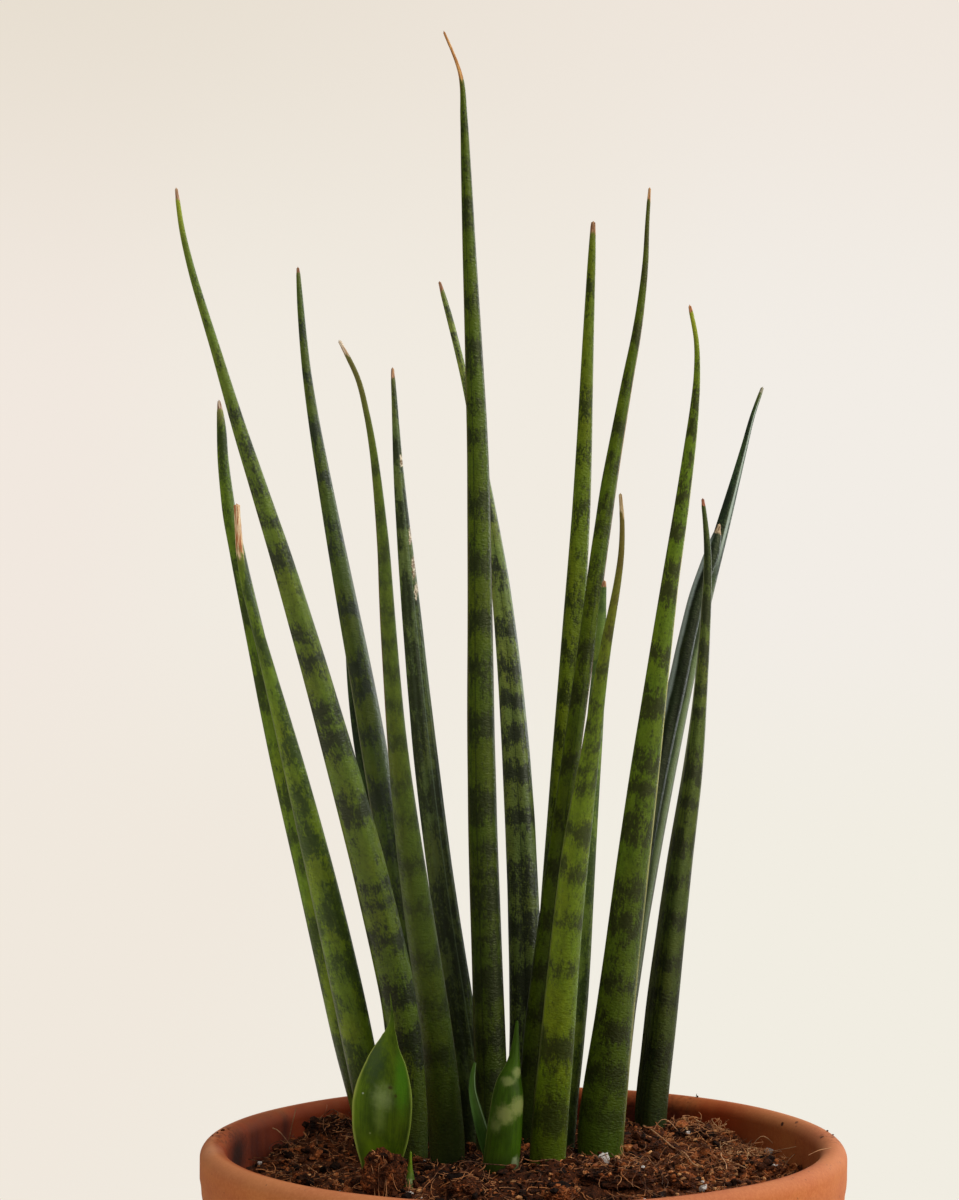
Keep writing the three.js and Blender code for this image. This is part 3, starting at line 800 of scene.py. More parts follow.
for count, (node, look) in enumerate(leaves.items()):
    look["seed"] = 1.7 * count + 0.9
    spine = spineOf(node, look["groove"], blade["roundness"], blade["start"])
    made = growBlade(node + "_grown", look, leafSection, blade["around"], blade["along"], spine)
    finishPiece(made, leafMaterial(node + "_skin", look), leafSlots[node], node)
print("leaves grown")

# young shoots

shootStart = 0.118
shootFinish = {
    "gloss": 0.36,
    "rough": 0.33,
    "tint": "f4f8bc",
    "marginStrength": 0.85,
    # foot: painted shade where the shoots go into the soil
    "foot": "26300f",
    "soak": 0.08,  # light that scatters inside
    "soakRadius": (0.0010, 0.0016, 0.0003),
    "markReach": 9,  # how far a mark reaches before and behind its place, in mm
}


def spoonSection(angle, share, look):
    # a cupped blade: thin raised edges and a fuller middle, seen from the channel side
    side = math.sin(angle)
    depth = look["thick"] * math.cos(angle) * (1 - 0.35 * side ** 2)
    cupped = look["cup"] * (side ** 2 - 0.42) * min(1, 5 * share)
    return cupped + depth, side, angle


def roundSection(angle, share, look):
    hollow = 0.12 * math.exp(-(angle / 0.5) ** 2)
    return blade["roundness"] * (1 - hollow) * math.cos(angle), (1 - hollow) * math.sin(angle), angle


# stations: height, x, y and half breadth, in mm; margins: compass direction, half breadth in radians, colour
# marks: x, height, half breadth, half height, colour, strength, raggedness, softness; markY is their y
shoots = {
    "shoot_ovate_grown": {
        "node": "shoot_ovate", "skin": "ovateSkin", "section": spoonSection, "faces": (72, 110),
        "groove": -95, "roundness": 0.42, "light": "526a0a", "dark": "2e430a",
        "cup": 0.34, "thick": 0.17, "dry": 9.5, "shrink": 0.86, "seed": 3.1,
        "margins": ((175, 0.5, "9aa44a"), (-5, 0.46, "8a9e3e")),
        "markY": -22,
        "marks": (
            (-33.6, 157, 3.4, 9, "35462a", 0.75, 0.9, 0.8),
            # bright green: painted light coming through the thin right side
            (-27.6, 152, 2.4, 10, "4f8a10", 0.75, 0.5, 0.8),
            (-34, 136, 6, 6, "5c720c", 0.5, 0.5, 0.8),
            # the two pale patches are a painted sheen
            (-32.0, 148.0, 3.5, 4.4, "8a9c5c", 0.75, 0.6, 1.0),
            (-32.6, 143.6, 2.2, 5.0, "7c8e48", 0.4, 0.5, 1.0),
            (-30.2, 150.2, 0.7, 0.55, "3a2e12", 0.85, 1.2, 0.8),
            (-29.0, 148.4, 0.5, 0.6, "3e3414", 0.85, 1.0, 0.8),
            (-38, 135, 3.4, 9, "2c3808", 0.75, 0.5, 0.8),
            (-36.4, 149.0, 0.3, 0.3, "a8b098", 0.8, 0.5, 0.8),
            (-34.8, 140.0, 0.3, 0.3, "8a9458", 0.7, 0.5, 0.8),
        ),
    },
    "shoot_banded_grown": {
        "node": "shoot_banded", "skin": "bandedSkin", "section": roundSection, "faces": (56, 90),
        "groove": 60, "light": "40600c", "dark": "263e06", "seed": 5.2,
        "stations": ((118, -5.2, -11, 3.7), (125, -5.2, -11, 4.0), (131, -5.2, -11, 4.2),
                     (136, -4.7, -11, 4.15), (141, -4.2, -11, 3.95), (146, -3.7, -11, 3.7),
                     (150, -3.3, -11, 3.0), (154, -2.4, -11, 1.7), (158, -1.9, -11, 0.95),
                     (164, -1.5, -11, 0.3)),
        "margins": ((190, 0.14, "70803a"),),
        "markY": -15,
        "marks": (
            (-0.9, 152.5, 2.2, 1.7, "848e50", 0.85, 0.9, 0.65),
            (-3.6, 150.6, 2.0, 1.5, "848e50", 0.7, 0.9, 0.65),
            (-1.1, 144.9, 2.6, 2.8, "8a9250", 0.85, 0.9, 0.65),
            (-4.2, 143.2, 2.9, 2.9, "8a9250", 0.85, 0.9, 0.65),
            (-6.4, 140.6, 1.8, 2.2, "7c8a48", 0.6, 1.0, 0.8),
            # whitish streak: a painted highlight
            (-1.9, 131.9, 1.1, 2.2, "b4c090", 0.75, 1.2, 0.8),
        ),
    },
    "shoot_sheath": {
        "skin": "sheathSkin", "section": spoonSection, "faces": (48, 60),
        "groove": -55, "light": "486826", "dark": "284214", "cup": 0.5, "thick": 0.2, "seed": 6.4,
        "stations": ((118, -5.6, -10.6, 2.0), (126, -6.2, -10.6, 2.1), (131, -7.1, -10.6, 2.05),
                     (136, -8.9, -9.6, 1.9), (141, -10.4, -9.0, 1.6), (147, -11.8, -8.6, 1.1),
                     (151, -11.8, -8.5, 0.75), (154, -11.2, -8.4, 0.35)),
        "margins": ((0, 0.2, "8ca878"),),
    },
    "shoot_budding_grown": {
        "node": "shoot_budding", "skin": "buddingSkin", "section": roundSection, "faces": (32, 40),
        "groove": 90, "light": "7a961c", "dark": "4c6c14", "dry": 6.0, "shrink": 0.5, "seed": 8.3,
        "margins": ((0, 0.3, "7c9a44"),),
    },
}


def shootMaterial(look):
    material, tree, sockets = newMaterial(look["skin"], shootFinish["gloss"])
    grown = attribute(tree, "grown")
    where = objectPlace(tree)
    aboveSoil = splitVector(tree, attribute(tree, "reach"))[1]
    veins = grain(tree, grown, (2400, 2400, 60))
    cloud = grain(tree, grown, (230, 230, 130), 3)
    share = plus(tree, times(tree, veins, 0.35), times(tree, cloud, 0.85))
    color = sweep(tree, share, (look["dark"], look["light"]), (0.4, 0.8))
    for x, z, breadth, height, tint, strength, *edge in look.get("marks", ()):
        size = (breadth, shootFinish["markReach"], height)
        mask = spotMask(tree, where, (x, look["markY"], z), size, *edge)
        color = blendColors(tree, times(tree, mask, strength), color, tint)
    for degrees, width, tint in look["margins"]:
        line = times(tree, lineMask(tree, grown, degrees, width), shootFinish["marginStrength"])
        color = blendColors(tree, line, color, tint)
    # painted shade where the shoot goes into the soil
    color = blendColors(tree, ramp(tree, aboveSoil, 0.0, 0.008, 0.8, 0.0), color, shootFinish["foot"])
    feed(tree, color, sockets["Base Color"])
    skin = place(tree, skinGroup, Grown=grown)
    feed(tree, plus(tree, shootFinish["rough"], skin["Rough"]), sockets["Roughness"])
    sockets["Subsurface Weight"].default_value = shootFinish["soak"]
    sockets["Subsurface Radius"].default_value = shootFinish["soakRadius"]
    sockets["Specular Tint"].default_value = linearColor(shootFinish["tint"])
    addBump(tree, plus(tree, skin["Height"], veins), 0.3, 0.1, sockets)
    return material


for name, look in shoots.items():
    if "stations" in look:
        spine = [Vector((x, y, z, radius)) * mm for z, x, y, radius in look["stations"]]
    else:
        spine = spineOf(look["node"], look["groove"], look.get("roundness", blade["roundness"]), shootStart)
    made = growBlade(name, look, look["section"], *look["faces"], spine)
    finishPiece(made, shootMaterial(look), "shoot", *([look["node"]] if "node" in look else []))
print("shoots grown")

# pot

pot = {
    "steps": 180,
    "wall": 6.3,
    "rimDrop": 7.5,
    "footRadius": 51,
    "footRound": 2.5,
    "floor": 8,
    "floorCorner": 6,
    "drainRadius": 8,
    "drainRound": 1.0,
    "belly": 0.35,
    "ripplePitch": 3.4,
    "ripple": 0.13,
    "wobble": 0.3,
    "lipWobble": 0.22,
}
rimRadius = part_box("pot")[1].x / mm
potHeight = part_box("pot")[1].z / mm


def potOuterRadius(z):
    climb = min(max((z - pot["footRound"]) / (potHeight - pot["rimDrop"] - pot["footRound"]), 0), 1)
    bowed = climb * (1 + pot["belly"]) - pot["belly"] * climb ** 2
    return pot["footRadius"] + (rimRadius - pot["footRadius"]) * bowed


def potInnerRadius(z):
    return potOuterRadius(z) - pot["wall"]


def potOutline():
    lip = pot["wall"] / 2
    edge, hole, foot = pot["drainRound"], pot["drainRadius"] + pot["drainRound"], pot["footRound"]
    widest = potHeight - pot["rimDrop"]
    inside = pot["floor"] + pot["floorCorner"]
    outline = [
        *arcPoints((hole, edge), edge, -180, -90, 4),
        *arcPoints((pot["footRadius"] - foot, foot), foot, -90, 0, 6),
        *[(potOuterRadius(z), z) for z in evenly(foot, widest, 64)[1:]],
        *arcPoints((rimRadius - lip, potHeight - lip), lip, 0, 180, 18),
        *[(potInnerRadius(z), z) for z in evenly(widest, inside, 48)],
        (potInnerRadius(inside) - pot["floorCorner"], pot["floor"]),
        *arcPoints((hole, pot["floor"] - edge), edge, 90, 180, 4),
    ]
    return [*outline, outline[0]]


def makePot():
    # thrown by hand: fine rings, and a round that isn't quite true
    bm = spinProfile([inMetres(point) for point in potOutline()], pot["steps"])
    for vert in bm.verts:
        z = vert.co.z / mm
        turn = math.atan2(vert.co.y, vert.co.x)
        around = Vector((math.cos(turn), math.sin(turn), z / 45))
        fade = min(1, max(0, (z - 3) / 6)) * min(1, max(0.15, (potHeight - z) / 8))
        wave = math.sin(2 * math.pi * z / pot["ripplePitch"] + 1.2 * noise.noise(around * 2.1) + turn)
        inward = pot["ripple"] * (1 + wave) / 2 * fade
        inward += pot["wobble"] * (0.5 + 0.5 * noise.noise(around * 1.3))
        if z >= 1:
            vert.co.x -= inward * mm * math.cos(turn)
            vert.co.y -= inward * mm * math.sin(turn)
        if z > potHeight - pot["rimDrop"]:
            vert.co.z -= pot["lipWobble"] * mm * (0.5 + 0.5 * noise.noise(around * 2.7))
    return makeObject("clay_pot", bm)


clay = {
    "specular": 0.22,
    "base": ("b05627", "c27238"),
    "streak": "a9522b",
    "glintFlecks": "e0935f",
    "speck": "5a2a18",
    "wetShadedWall": ("963a12", "561e0a"),
    "lipDust": "dca586",
    "bloom": "d8ab88",
    "chip": "4a2212",
    "wallSlope": 0.188,  # the line up the middle of the wall, which parts the inside from the outside
    "wallStart": 0.0465,
}
clayMarks = [  # where, half sizes, colour, strength, raggedness, softness, whether it keeps to the inside
    # the first three are dark patches on the inside wall: partly damp stains, partly painted shade
    ((-67, 12, 128.5), (7, 14, 9), "2a1208", 0.95, 0.5, 0.9, True),
    ((-57, 37, 129), (3.5, 4, 8), "3a170c", 0.5, 0.5, 0.9, True),
    ((28, 62, 127), (40, 16, 11), "3a1206", 0.9, 0.9, 0.9, True),
    ((-71, -12, 135), (4, 9, 3), "e6bf9c", 0.15, 0.9, 0.9, False),
    ((63.0, 28.1, 133.2), (0.45, 0.8, 0.7), "3a2014", 0.95, 0.6, 0.4, False),
    ((44.4, 56.6, 134.7), (0.5, 0.9, 1), "3a2014", 0.8, 0.6, 0.4, False),
    ((70.0, 4.9, 134.5), (0.6, 0.9, 1), "42241a", 0.8, 0.6, 0.4, False),
    ((73.8, 11.7, 133.2), (0.8, 1.0, 1), "42241a", 0.8, 0.6, 0.4, False),
    ((66, 24, 134.5), (0.5, 0.8, 1), "42241a", 0.7, 0.6, 0.4, False),
    ((71, 18, 134.6), (0.4, 0.7, 1), "42241a", 0.7, 0.6, 0.4, False),
]
scuffs = [  # places where the lip is freckled with dark bits: where, half sizes
    ((-69.5, 6, 134.6), (6, 17, 4)),
    ((72.5, 9, 134), (4, 18, 4)),
]


def clayMaterial():
    material, tree, sockets = newMaterial("firedClay", clay["specular"])
    where = objectPlace(tree)
    aside, _, height = splitVector(tree, where)
    radius = vectorCalc(tree, "LENGTH", flattened(tree, where))
    streaks = grain(tree, where, (14, 14, 420), 3, 0.6)
    fine = grain(tree, where, 1400, 3, 0.7)
    color = sweep(tree, grain(tree, where, 28, 4, 0.6), clay["base"], (0.3, 0.7))
    color = blendColors(tree, times(tree, ramp(tree, streaks, 0.4, 0.75), 0.3), color, clay["streak"])
    # pale flecks over the fine grain: painted glints
    color = blendColors(tree, ramp(tree, fine, 0.3, 0.75, 0.0, 0.3), color, clay["glintFlecks"])
    specks = addNode(tree, "TexVoronoi", {"Vector": where, "Scale": 520})["Distance"]
    rare = ramp(tree, grain(tree, where, 300, 1), 0.56, 0.62)
    dots = times(tree, ramp(tree, specks, 0.10, 0.22, 1.0, 0.0), rare, 0.55)
    color = blendColors(tree, dots, color, clay["speck"])

    inward = minus(tree, times(tree, height, clay["wallSlope"]), minus(tree, radius, clay["wallStart"]))
    inside = ramp(tree, inward, -0.0006, 0.0012)
    outside = minus(tree, 1.0, inside)
    runs = grain(tree, where, (62, 62, 7), 3, 0.65)
    # the inside wall is darker: partly damp clay, partly painted shade inside the pot, with less of it on
    # the right
    dampAndShade = ramp(tree, plus(tree, height, times(tree, runs, 0.010)), 0.1360, 0.1425, 1.0, 0.3)
    dampAndShade = times(tree, dampAndShade, ramp(tree, aside, 0.048, 0.066, 1.0, 0.12))
    streaked = plus(tree, runs, ramp(tree, aside, -0.05, 0.0, 0.0, -0.12))
    wetShadedWall = sweep(tree, streaked, clay["wetShadedWall"], (0.46, 0.64))
    color = blendColors(tree, times(tree, inside, dampAndShade), color, wetShadedWall)
    dusty = calc(tree, "MAXIMUM", outside, ramp(tree, aside, 0.050, 0.066))
    dusty = times(tree, dusty, ramp(tree, height, 0.1308, 0.1345, 0.0, 0.13))
    color = blendColors(tree, dusty, color, clay["lipDust"])
    bloom = ramp(tree, grain(tree, where, 60, 5, 0.7), 0.52, 0.72)
    bloom = times(tree, bloom, ramp(tree, height, 0.0, 0.05, 1.0, 0.12), outside, 0.4)
    color = blendColors(tree, bloom, color, clay["bloom"])

    for centre, size, tint, strength, ragged, soft, within in clayMarks:
        mask = times(tree, spotMask(tree, where, centre, size, ragged, soft), strength)
        color = blendColors(tree, times(tree, mask, inside) if within else mask, color, tint)
    chips = ramp(tree, grain(tree, where, 850, 3, 0.6), 0.53, 0.58)
    for scuff in scuffs:
        chipped = times(tree, spotMask(tree, where, *scuff, 1.0, 0.9), chips, 0.65)
        color = blendColors(tree, chipped, color, clay["chip"])
    feed(tree, color, sockets["Base Color"])
    feed(tree, ramp(tree, fine, 0.2, 0.8, 0.72, 0.92), sockets["Roughness"])
    addBump(tree, plus(tree, times(tree, fine, 0.6), times(tree, streaks, 0.5)), 0.35, 0.2, sockets)
    return material


finishPiece(makePot(), clayMaterial(), "terracotta", "pot")
print("pot turned")

# soil

soil = {
    "edgeLevel": 123,
    "steps": 230,
    "rings": 112,
    "lumpHeight": 1.5,
    "lumpSize": 6.0,
    "gap": 0.3,
    "tones": ("180c06", "4c2611", "a0572b", "d49c66"),
    "toneSpans": ((0.1, 0.5), (0.5, 0.78), (0.8, 0.98)),
}
heaps = [  # x, y, what it adds, how far it spreads
    (4, 24, 6.5, 50),
    (-46, 27, 7.5, 12),
    (42, 48, 3.5, 18),
    (-14, -13, 4, 14),
    (12, -11, 4, 13),
    (-33, -21, 3, 11),
]
chunks = [  # x, y, rise above the soil, half sizes, turn, tone from black to tan
    (21, -17, 1.2, (8.5, 5.0, 2.6), 12, 0.34),
    (8, -27, 0.8, (4.0, 3.0, 2.0), -20, 0.62),
    (-46, 28, -1.4, (6.5, 5.0, 3.2), 30, 0.2),
    (-31.4, -25.0, 4.0, (4.9, 2.4, 5.4), 0, 0.5),
    (56, 9, 0.7, (8.5, 3.8, 3.0), 50, 0.4),
    (-14, -22, 0.6, (5.0, 4.0, 2.4), 50, 0.5),
    (35, -10, 0.4, (4.5, 3.5, 2.0), -40, 0.35),
    (30, 22, 0.4, (4.0, 3.0, 2.0), 15, 0.3),
    (-50, -2, 0.3, (4.5, 3.2, 1.8), 80, 0.3),
    (0, -48, 0.3, (5.5, 3.2, 2.0), 25, 0.4),
    (-30, -50, 0.2, (4.2, 3.0, 1.8), -15, 0.45),
    (48, -36, 0.2, (4.6, 3.2, 1.8), 35, 0.25),
    (41, 37, -0.5, (6.0, 3.4, 2.2), 5, 0.14),
]


def soilLevel(x, y):
    level = soil["edgeLevel"]
    for heapX, heapY, rise, spread in heaps:
        level += rise * math.exp(-(math.hypot(x - heapX, y - heapY) / spread) ** 2)
    spot = Vector((x, y, 0)) / soil["lumpSize"]
    lumps = noise.noise(spot) + 0.5 * noise.noise(spot * 2.3) + 0.45 * noise.noise(spot * 5.1)
    return level + soil["lumpHeight"] * lumps


def groundLevel(x, y):
    # the soil, or the top of a chunk that lies on it
    level = soilLevel(x, y)
    for chunkX, chunkY, rise, size, degrees, _ in chunks:
        turn = math.radians(degrees)
        aside, along = x - chunkX, y - chunkY
        u = (aside * math.cos(turn) + along * math.sin(turn)) / size[0]
        v = (along * math.cos(turn) - aside * math.sin(turn)) / size[1]
        if u * u + v * v < 1:
            level = max(level, soilLevel(chunkX, chunkY) + rise + size[2] * math.sqrt(1 - u * u - v * v))
    return level


def makeSoil():
    edge, bottom = soil["edgeLevel"], pot["floor"] + soil["gap"]
    top = potInnerRadius(edge) - soil["gap"]
    inside = pot["floor"] + pot["floorCorner"]
    outline = [(0, bottom), (potInnerRadius(inside) - pot["floorCorner"] - 1, bottom)]
    outline += [(potInnerRadius(z) - soil["gap"], z) for z in evenly(inside, edge - 3, 14)]
    outline += [(top * (1 - i / soil["rings"]), edge) for i in range(soil["rings"] + 1)]
    bm = spinProfile([inMetres(point) for point in outline], soil["steps"])
    for vert in bm.verts:
        if vert.co.z > (edge - 1) * mm:
            x, y = vert.co.x / mm, vert.co.y / mm
            vert.co.z = soilLevel(x, y) * mm
            spot = Vector((x, y, 3))
            vert.co += (noise.noise_vector(spot / 1.7) * 0.5 + noise.noise_vector(spot / 0.8) * 0.35) * mm
    return makeObject("potting_soil", bm, smooth=False)


def makeEarthGroup():
    group, given, out = newGroup(
        "earth",
        {"Where": "Vector", "Tone": "Float", "Spread": "Float"},
        {"Color": "Color", "Rough": "Float", "Height": "Float"},
    )
    lumps = grain(group, given["Where"], 520, 3, 0.6)
    grit = grain(group, given["Where"], 2300, 3, 0.7)
    wander = plus(group, minus(group, lumps, 0.5), minus(group, grit, 0.5))
    aside = splitVector(group, given["Where"])[0]
    # tone shifted by side: the right is painted lighter, as if lit from the window, left of the middle a
    # little darker, the far left a little paler
    paintedLightRight = ramp(group, aside, 0.0, 0.05, -0.06, 0.11)
    paleLeftEdge = ramp(group, aside, -0.045, -0.02, 0.1, 0.0)
    sideTones = plus(group, paintedLightRight, paleLeftEdge)
    share = plus(group, given["Tone"], sideTones, times(group, wander, given["Spread"]))
    feed(group, sweep(group, share, soil["tones"], *soil["toneSpans"]), out["Color"])
    feed(group, ramp(group, grit, 0.2, 0.8, 0.82, 1.0), out["Rough"])
    feed(group, plus(group, lumps, grit), out["Height"])
    return group


earthGroup = makeEarthGroup()


def earthMaterial(name, tone=None, spread=0.8):
    # without a tone of its own, each crumb brings one
    material, tree, sockets = newMaterial(name, specular=0.15)
    given = splitVector(tree, attribute(tree, "tone"))[0] if tone is None else tone
    earth = place(tree, earthGroup, Where=objectPlace(tree), Tone=given, Spread=spread)
    feed(tree, earth["Color"], sockets["Base Color"])
    feed(tree, earth["Rough"], sockets["Roughness"])
    addBump(tree, earth["Height"], 0.8, 0.35, sockets)
    return material


finishPiece(makeSoil(), earthMaterial("pottingSoil", 0.42, 1.1), "soil", "soil")

crumbs = {
    "fine": {"count": 6000, "size": (0.25, 0.7), "divisions": 1, "palest": 1.0},
    "coarse": {"count": 700, "size": (0.7, 1.5), "divisions": 2, "palest": 0.75},
}
lipCrumbs = [  # where and half size
    (44.5, 56.5, 135.0, 0.32), (44.3, 56.4, 135.5, 0.2), (-70.6, 10.5, 135.0, 0.3),
    (-71.6, 7.2, 135.0, 0.22), (-69.6, 13.4, 134.6, 0.3), (-72.4, 4.0, 134.9, 0.2),
    (71.8, 9.6, 135.0, 0.2), (72.6, 5.2, 134.9, 0.24),
]
scatterLimit = {"crumbs": 66.3, "fibres": 65, "perlite": 64}  # how far from the pot's axis
random.seed(41)


def spotInPot(limit):
    radius = limit * math.sqrt(random.random())
    turn = random.uniform(0, 2 * math.pi)
    return radius * math.cos(turn), radius * math.sin(turn)


def turnedSize(size):
    turns = [Matrix.Rotation(random.uniform(0, 6.283), 4, axis) for axis in "ZX"]
    sizes = [size * random.uniform(*span) for span in ((0.7, 2.0), (0.5, 1.1), (0.35, 0.9))]
    return turns[0] @ turns[1] @ Matrix.Diagonal((*sizes, 1))


def addLump(bm, x, y, z, size, divisions, tone, rough=0.45):
    layer = bm.verts.layers.float.get("tone") or bm.verts.layers.float.new("tone")
    matrix = Matrix.Translation(Vector((x, y, z)) * mm) @ turnedSize(size * mm)
    made = bmesh.ops.create_icosphere(bm, subdivisions=divisions, radius=1, matrix=matrix)["verts"]
    for vert in made:
        vert.co += noise.noise_vector(vert.co / (size * mm) * 1.5) * size * rough * mm
        vert[layer] = tone


def scatter(count, addOne, handfulSize=60):
    # a bmesh slows down as it fills, so the pieces are made by the handful
    whole, handful = bmesh.new(), bmesh.new()
    whole.verts.layers.float.new("tone")
    for i in range(count):
        addOne(handful)
        if (i + 1) % handfulSize == 0 or i == count - 1:
            batch = bpy.data.meshes.new("handful")
            handful.to_mesh(batch)
            whole.from_mesh(batch)
            bpy.data.meshes.remove(batch)
            handful.clear()
    return whole


def addCrumb(bm, kind):
    x, y = spotInPot(scatterLimit["crumbs"])
    size = random.uniform(*kind["size"])
    z = groundLevel(x, y) + size * random.uniform(-0.1, 0.7)
    addLump(bm, x, y, z, size, kind["divisions"], random.betavariate(1.4, 1.8) * kind["palest"])


for name, kind in crumbs.items():
    made = makeObject("crumbs_" + name, scatter(kind["count"], lambda bm: addCrumb(bm, kind)), smooth=False)
    finishPiece(made, earthMaterial("crumbSkin_" + name), "soil")

spilled = bmesh.new()
for x, y, z, size in lipCrumbs:
    addLump(spilled, x, y, z, size, 2, 0.4)
finishPiece(makeObject("lip_crumbs", spilled, smooth=False), earthMaterial("crumbSkin_lip"), "soil")


def makeChunk(count, x, y, rise, size, degrees):
    bm = bmesh.new()
    made = bmesh.ops.create_icosphere(bm, subdivisions=5, radius=1)["verts"]
    for vert in made:
        seeded = vert.co + Vector((count * 3.7, 0, 0))
        bump = 1 + 0.25 * noise.noise(seeded * 1.6) + 0.14 * noise.noise(seeded * 4.5)
        vert.co *= bump + 0.10 * noise.noise(seeded * 9) + 0.07 * noise.noise(seeded * 19)
    turn = Matrix.Rotation(math.radians(degrees), 3, "Z")
    bmesh.ops.scale(bm, vec=inMetres(size), verts=bm.verts)
    bmesh.ops.rotate(bm, cent=(0, 0, 0), matrix=turn, verts=bm.verts)
    bmesh.ops.translate(bm, vec=inMetres((x, y, soilLevel(x, y) + rise)), verts=bm.verts)
    return makeObject(f"chunk_{count:02d}", bm, smooth=False)


for count, (*shape, tone) in enumerate(chunks, 1):
    finishPiece(makeChunk(count, *shape), earthMaterial(f"chunkSkin_{count:02d}", tone, 1.2), "soil")
print("soil filled")

# coir fibres: curly strands, lying loose and in tufts

strands = {
    "loose": {"count": 260, "length": (6, 20), "thick": (0.06, 0.14), "curl": 0.8, "bends": 6},
    "fluff": {"count": 2300, "length": (1.2, 4.0), "thick": (0.05, 0.15), "curl": 1.2, "bends": 3},
    "tuftThick": (0.04, 0.09),
    "tuftCurl": 1.5,
    "tuftBends": 6,
    "tufts": [  # x, y, how far they spread, how many, the longest
        (51, 49, 9, 70, 9), (55, 27, 7, 100, 9), (40, 34, 8, 40, 9), (30, 4, 9, 30, 9), (-44, 24, 10, 50, 9),
        (-24, -30, 10, 50, 7), (44, 8, 9, 50, 9), (-10, -24, 8, 40, 7), (10, -50, 12, 30, 9),
        (-33, -28, 4, 16, 4), (21, -18, 7, 30, 9),
    ],
    "paleTufts": [(54, 22, 7, 90, 7), (50, 46, 5, 24, 7)],
}
placedStrands = [  # half thickness, then points
    (0.14, [(-56.6, 30, 127), (-56.0, 31, 131), (-54.6, 32, 136.4)]),
    (0.14, [(-59.8, 24, 133.0), (-58.6, 24, 132.8), (-56.3, 24, 129.9), (-53.9, 23, 126.9),
            (-50.8, 22, 126.2), (-47, 20, 126.5)]),
    (0.24, [(29.2, 50, 129.1), (30.5, 42, 130.3), (32.0, 35, 130.4), (33.4, 31, 129.9),
            (34.8, 26, 129.4), (36.6, 20.5, 128.4), (39.1, 17, 128.1)]),
    (0.26, [(38.7, 17.8, 128.2), (39.5, 12, 128.0), (39.5, 9.3, 127.7), (41.4, 4.5, 127.2),
            (44.4, 1.6, 126.8)]),
    (0.10, [(32, 37, 129.5), (33.6, 36.6, 132.6), (35.6, 36.4, 133.0), (37.6, 36, 131),
            (39, 35, 129.4)]),
    (0.12, [(56, 33, 126.8), (57.6, 32, 129.4), (59.4, 31.4, 129.8), (61, 31, 128)]),
    (0.10, [(59, 24, 127.2), (62.5, 22, 128.2), (66.5, 19.5, 129.6)]),
    (0.09, [(64.5, -16.6, 134.3), (66.5, -16.0, 135.2), (68, -14.6, 135.3), (70, -13.6, 135.35)]),
    (0.14, [(46, 12, 127.5), (47.0, 10, 130.4), (46.2, 5, 129.8), (47.4, 0, 129.2), (47, -3, 128.4)]),
    (0.13, [(46.4, 4, 129.6), (49.4, 2, 128.8), (51.5, -2, 128.6)]),
]
wallReach = 66.5  # fibres bend back where they come to the wall


def curlyPath(x, y, length, curl, bends):
    turn = random.uniform(0, 2 * math.pi)
    bend = random.uniform(-curl, curl)
    tilt = random.uniform(-0.1, 0.45)
    z = groundLevel(x, y) + random.uniform(-0.2, 0.7)
    points, step = [], length / bends
    for _ in range(bends + 1):
        points.append((x, y, z))
        turn += bend + random.uniform(-0.45, 0.45)
        tilt += random.uniform(-0.45, 0.35)
        x += step * math.cos(turn) * math.cos(tilt)
        y += step * math.sin(turn) * math.cos(tilt)
        outside = math.hypot(x, y) / wallReach
        if outside > 1:
            x, y = x / outside, y / outside
        ground = groundLevel(x, y)
        z = max(min(z + step * math.sin(tilt), max(ground + 3, z - 0.6 * step)), ground - 0.2)
    return points


def loosePaths(kind):
    paths = []
    for _ in range(kind["count"]):
        x, y = spotInPot(scatterLimit["fibres"])
        thick = random.uniform(*kind["thick"])
        paths.append((thick, curlyPath(x, y, random.uniform(*kind["length"]), kind["curl"], kind["bends"])))
    return paths


def tuftPaths(tufts):
    paths = []
    for tuftX, tuftY, spread, count, longest in tufts:
        for _ in range(count):
            x, y = tuftX + random.gauss(0, spread / 2), tuftY + random.gauss(0, spread / 2)
            outside = max(1, math.hypot(x, y) / scatterLimit["fibres"])
            length = random.uniform(longest / 3, longest)
            path = curlyPath(x / outside, y / outside, length, strands["tuftCurl"], strands["tuftBends"])
            paths.append((random.uniform(*strands["tuftThick"]), path))
    return paths


def makeStrands(name, paths):
    curve = bpy.data.curves.new(name, "CURVE")
    curve.dimensions = "3D"
    curve.bevel_depth = mm
    curve.bevel_resolution = 0
    curve.use_fill_caps = True
    for thick, points in paths:
        spline = curve.splines.new("NURBS")
        spline.points.add(len(points) - 1)
        for point, spot in zip(spline.points, points):
            point.co = (*inMetres(spot), 1)
            point.radius = thick
        spline.order_u = 3
        spline.use_endpoint_u = True
        spline.resolution_u = 2
    drawn = addToScene(name + "_curve", curve)
    bpy.context.view_layer.update()
    solid = bpy.data.meshes.new_from_object(drawn.evaluated_get(bpy.context.evaluated_depsgraph_get()))
    bpy.data.objects.remove(drawn)
    return addToScene(name, solid)


def fibreMaterial(name, colors, balance):
    material, tree, sockets = newMaterial(name, specular=0.25)
    where = objectPlace(tree)
    fine = grain(tree, where, 1800, 2)
    color = sweep(tree, grain(tree, where, 260, 3, 0.6), colors, (balance - 0.12, balance + 0.12))
    # pale flecks over the fine grain: painted glints on the fibres
    feed(tree, blendColors(tree, ramp(tree, fine, 0.4, 0.8, 0, 0.3), color, "e0a878"), sockets["Base Color"])
    feed(tree, ramp(tree, fine, 0.2, 0.8, 0.65, 0.9), sockets["Roughness"])
    return material


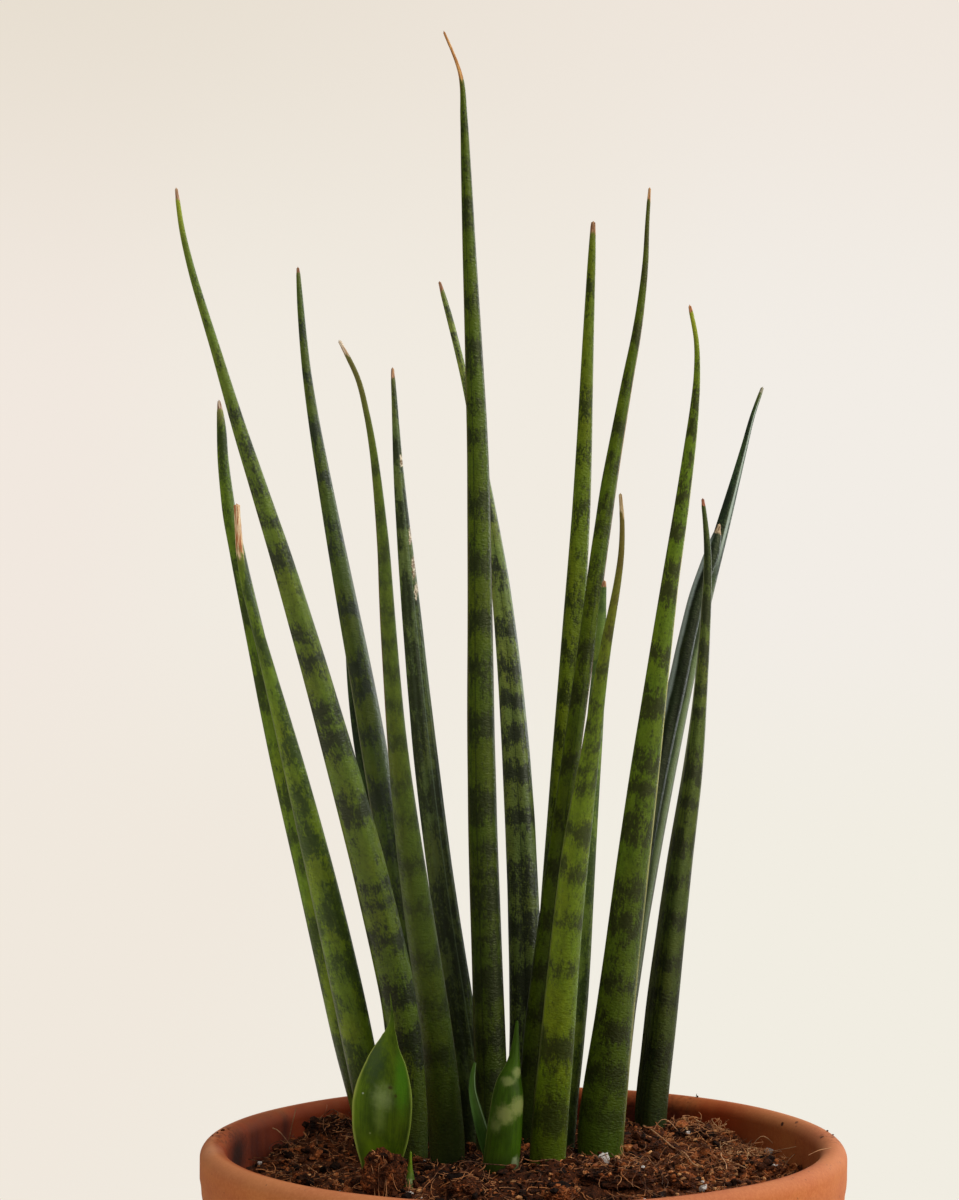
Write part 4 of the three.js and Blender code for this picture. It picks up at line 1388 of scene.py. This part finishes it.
tufted = tuftPaths(strands["tufts"])
paleTufted = tuftPaths(strands["paleTufts"])
coirs = {  # the fibres' paths, name of the finish, dark and pale colour, the grain's value halfway between
    "coir_loose": (loosePaths(strands["loose"]), "coirBrown", ("34190c", "8e5830"), 0.55),
    "coir_fluff": (loosePaths(strands["fluff"]), "coirFluff", ("4a2412", "b4703e"), 0.5),
    "coir_tufts": (tufted, "coirGold", ("5c3018", "cc8a58"), 0.48),
    "coir_pale_tufts": (paleTufted, "coirStraw", ("8a5834", "dcae7c"), 0.46),
    "coir_placed": (placedStrands, "coirPale", ("7a4a2c", "c89468"), 0.46),
}
for name, (paths, *finish) in coirs.items():
    finishPiece(makeStrands(name, paths), fibreMaterial(*finish), "soil")

# perlite: white puffed grains

perlite = {"colors": ("b8aca2", "e4dcd4"), "dirt": "8a6a50", "scattered": 14, "scatteredSize": (0.3, 0.7)}
placedPerlite = [  # x, y, half size, how tall
    (18.7, -4.0, 1.05, 1.9), (41, -13.7, 1.2, 1.2), (40.6, 34, 0.7, 1), (60.0, 31, 0.9, 1),
    (50.4, 14.8, 0.35, 1), (-25.7, -27.6, 0.6, 1), (-62.6, 19.7, 0.6, 1), (27, -16, 0.6, 1),
    (-8, -40, 1.2, 1), (52, -22, 1.0, 1),
]


def addGrain(bm, x, y, size, tall=1):
    raised = Vector((x, y, groundLevel(x, y) + size * 0.6 * tall)) * mm
    matrix = Matrix.Translation(raised) @ Matrix.Diagonal((1, 1, tall, 1)) @ turnedSize(size * mm)
    made = bmesh.ops.create_icosphere(bm, subdivisions=3, radius=1, matrix=matrix)["verts"]
    for vert in made:
        spot = vert.co / (size * mm)
        vert.co += (noise.noise_vector(spot * 1.4) * 0.4 + noise.noise_vector(spot * 4) * 0.12) * size * mm


def makePerlite():
    bm = bmesh.new()
    for grainAt in placedPerlite:
        addGrain(bm, *grainAt)
    for _ in range(perlite["scattered"]):
        addGrain(bm, *spotInPot(scatterLimit["perlite"]), random.uniform(*perlite["scatteredSize"]))
    return makeObject("perlite", bm)


def perliteMaterial():
    material, tree, sockets = newMaterial("perliteSkin", specular=0.3)
    where = objectPlace(tree)
    pores = grain(tree, where, 2600, 3, 0.7)
    color = sweep(tree, pores, perlite["colors"], (0.35, 0.65))
    dirt = ramp(tree, grain(tree, where, 700, 2), 0.5, 0.68, 0, 0.6)
    feed(tree, blendColors(tree, dirt, color, perlite["dirt"]), sockets["Base Color"])
    feed(tree, ramp(tree, pores, 0.3, 0.7, 0.75, 0.95), sockets["Roughness"])
    addBump(tree, pores, 0.6, 0.25, sockets)
    return material


finishPiece(makePerlite(), perliteMaterial(), "soil")
print("fibres and perlite strewn")

# rhizome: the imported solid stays, with bark of its own

bark = {"colors": ("a56a30", "d69a55"), "crust": "7a4a20"}


def rhizomeMaterial():
    material, tree, sockets = newMaterial("rhizomeBark")
    where = objectPlace(tree)
    rings = grain(tree, where, 320, 4, 0.65)
    fine = grain(tree, where, 1600, 3)
    color = sweep(tree, rings, bark["colors"], (0.35, 0.65))
    color = blendColors(tree, ramp(tree, fine, 0.4, 0.8, 0, 0.5), color, bark["crust"])
    feed(tree, color, sockets["Base Color"])
    feed(tree, ramp(tree, fine, 0.2, 0.8, 0.6, 0.8), sockets["Roughness"])
    addBump(tree, rings, 0.5, 0.4, sockets)
    return material


rhizomeSlots = frame["nodes"]["rhizome"].data.materials
rhizomeSlots.clear()
rhizomeSlots.append(rhizomeMaterial())
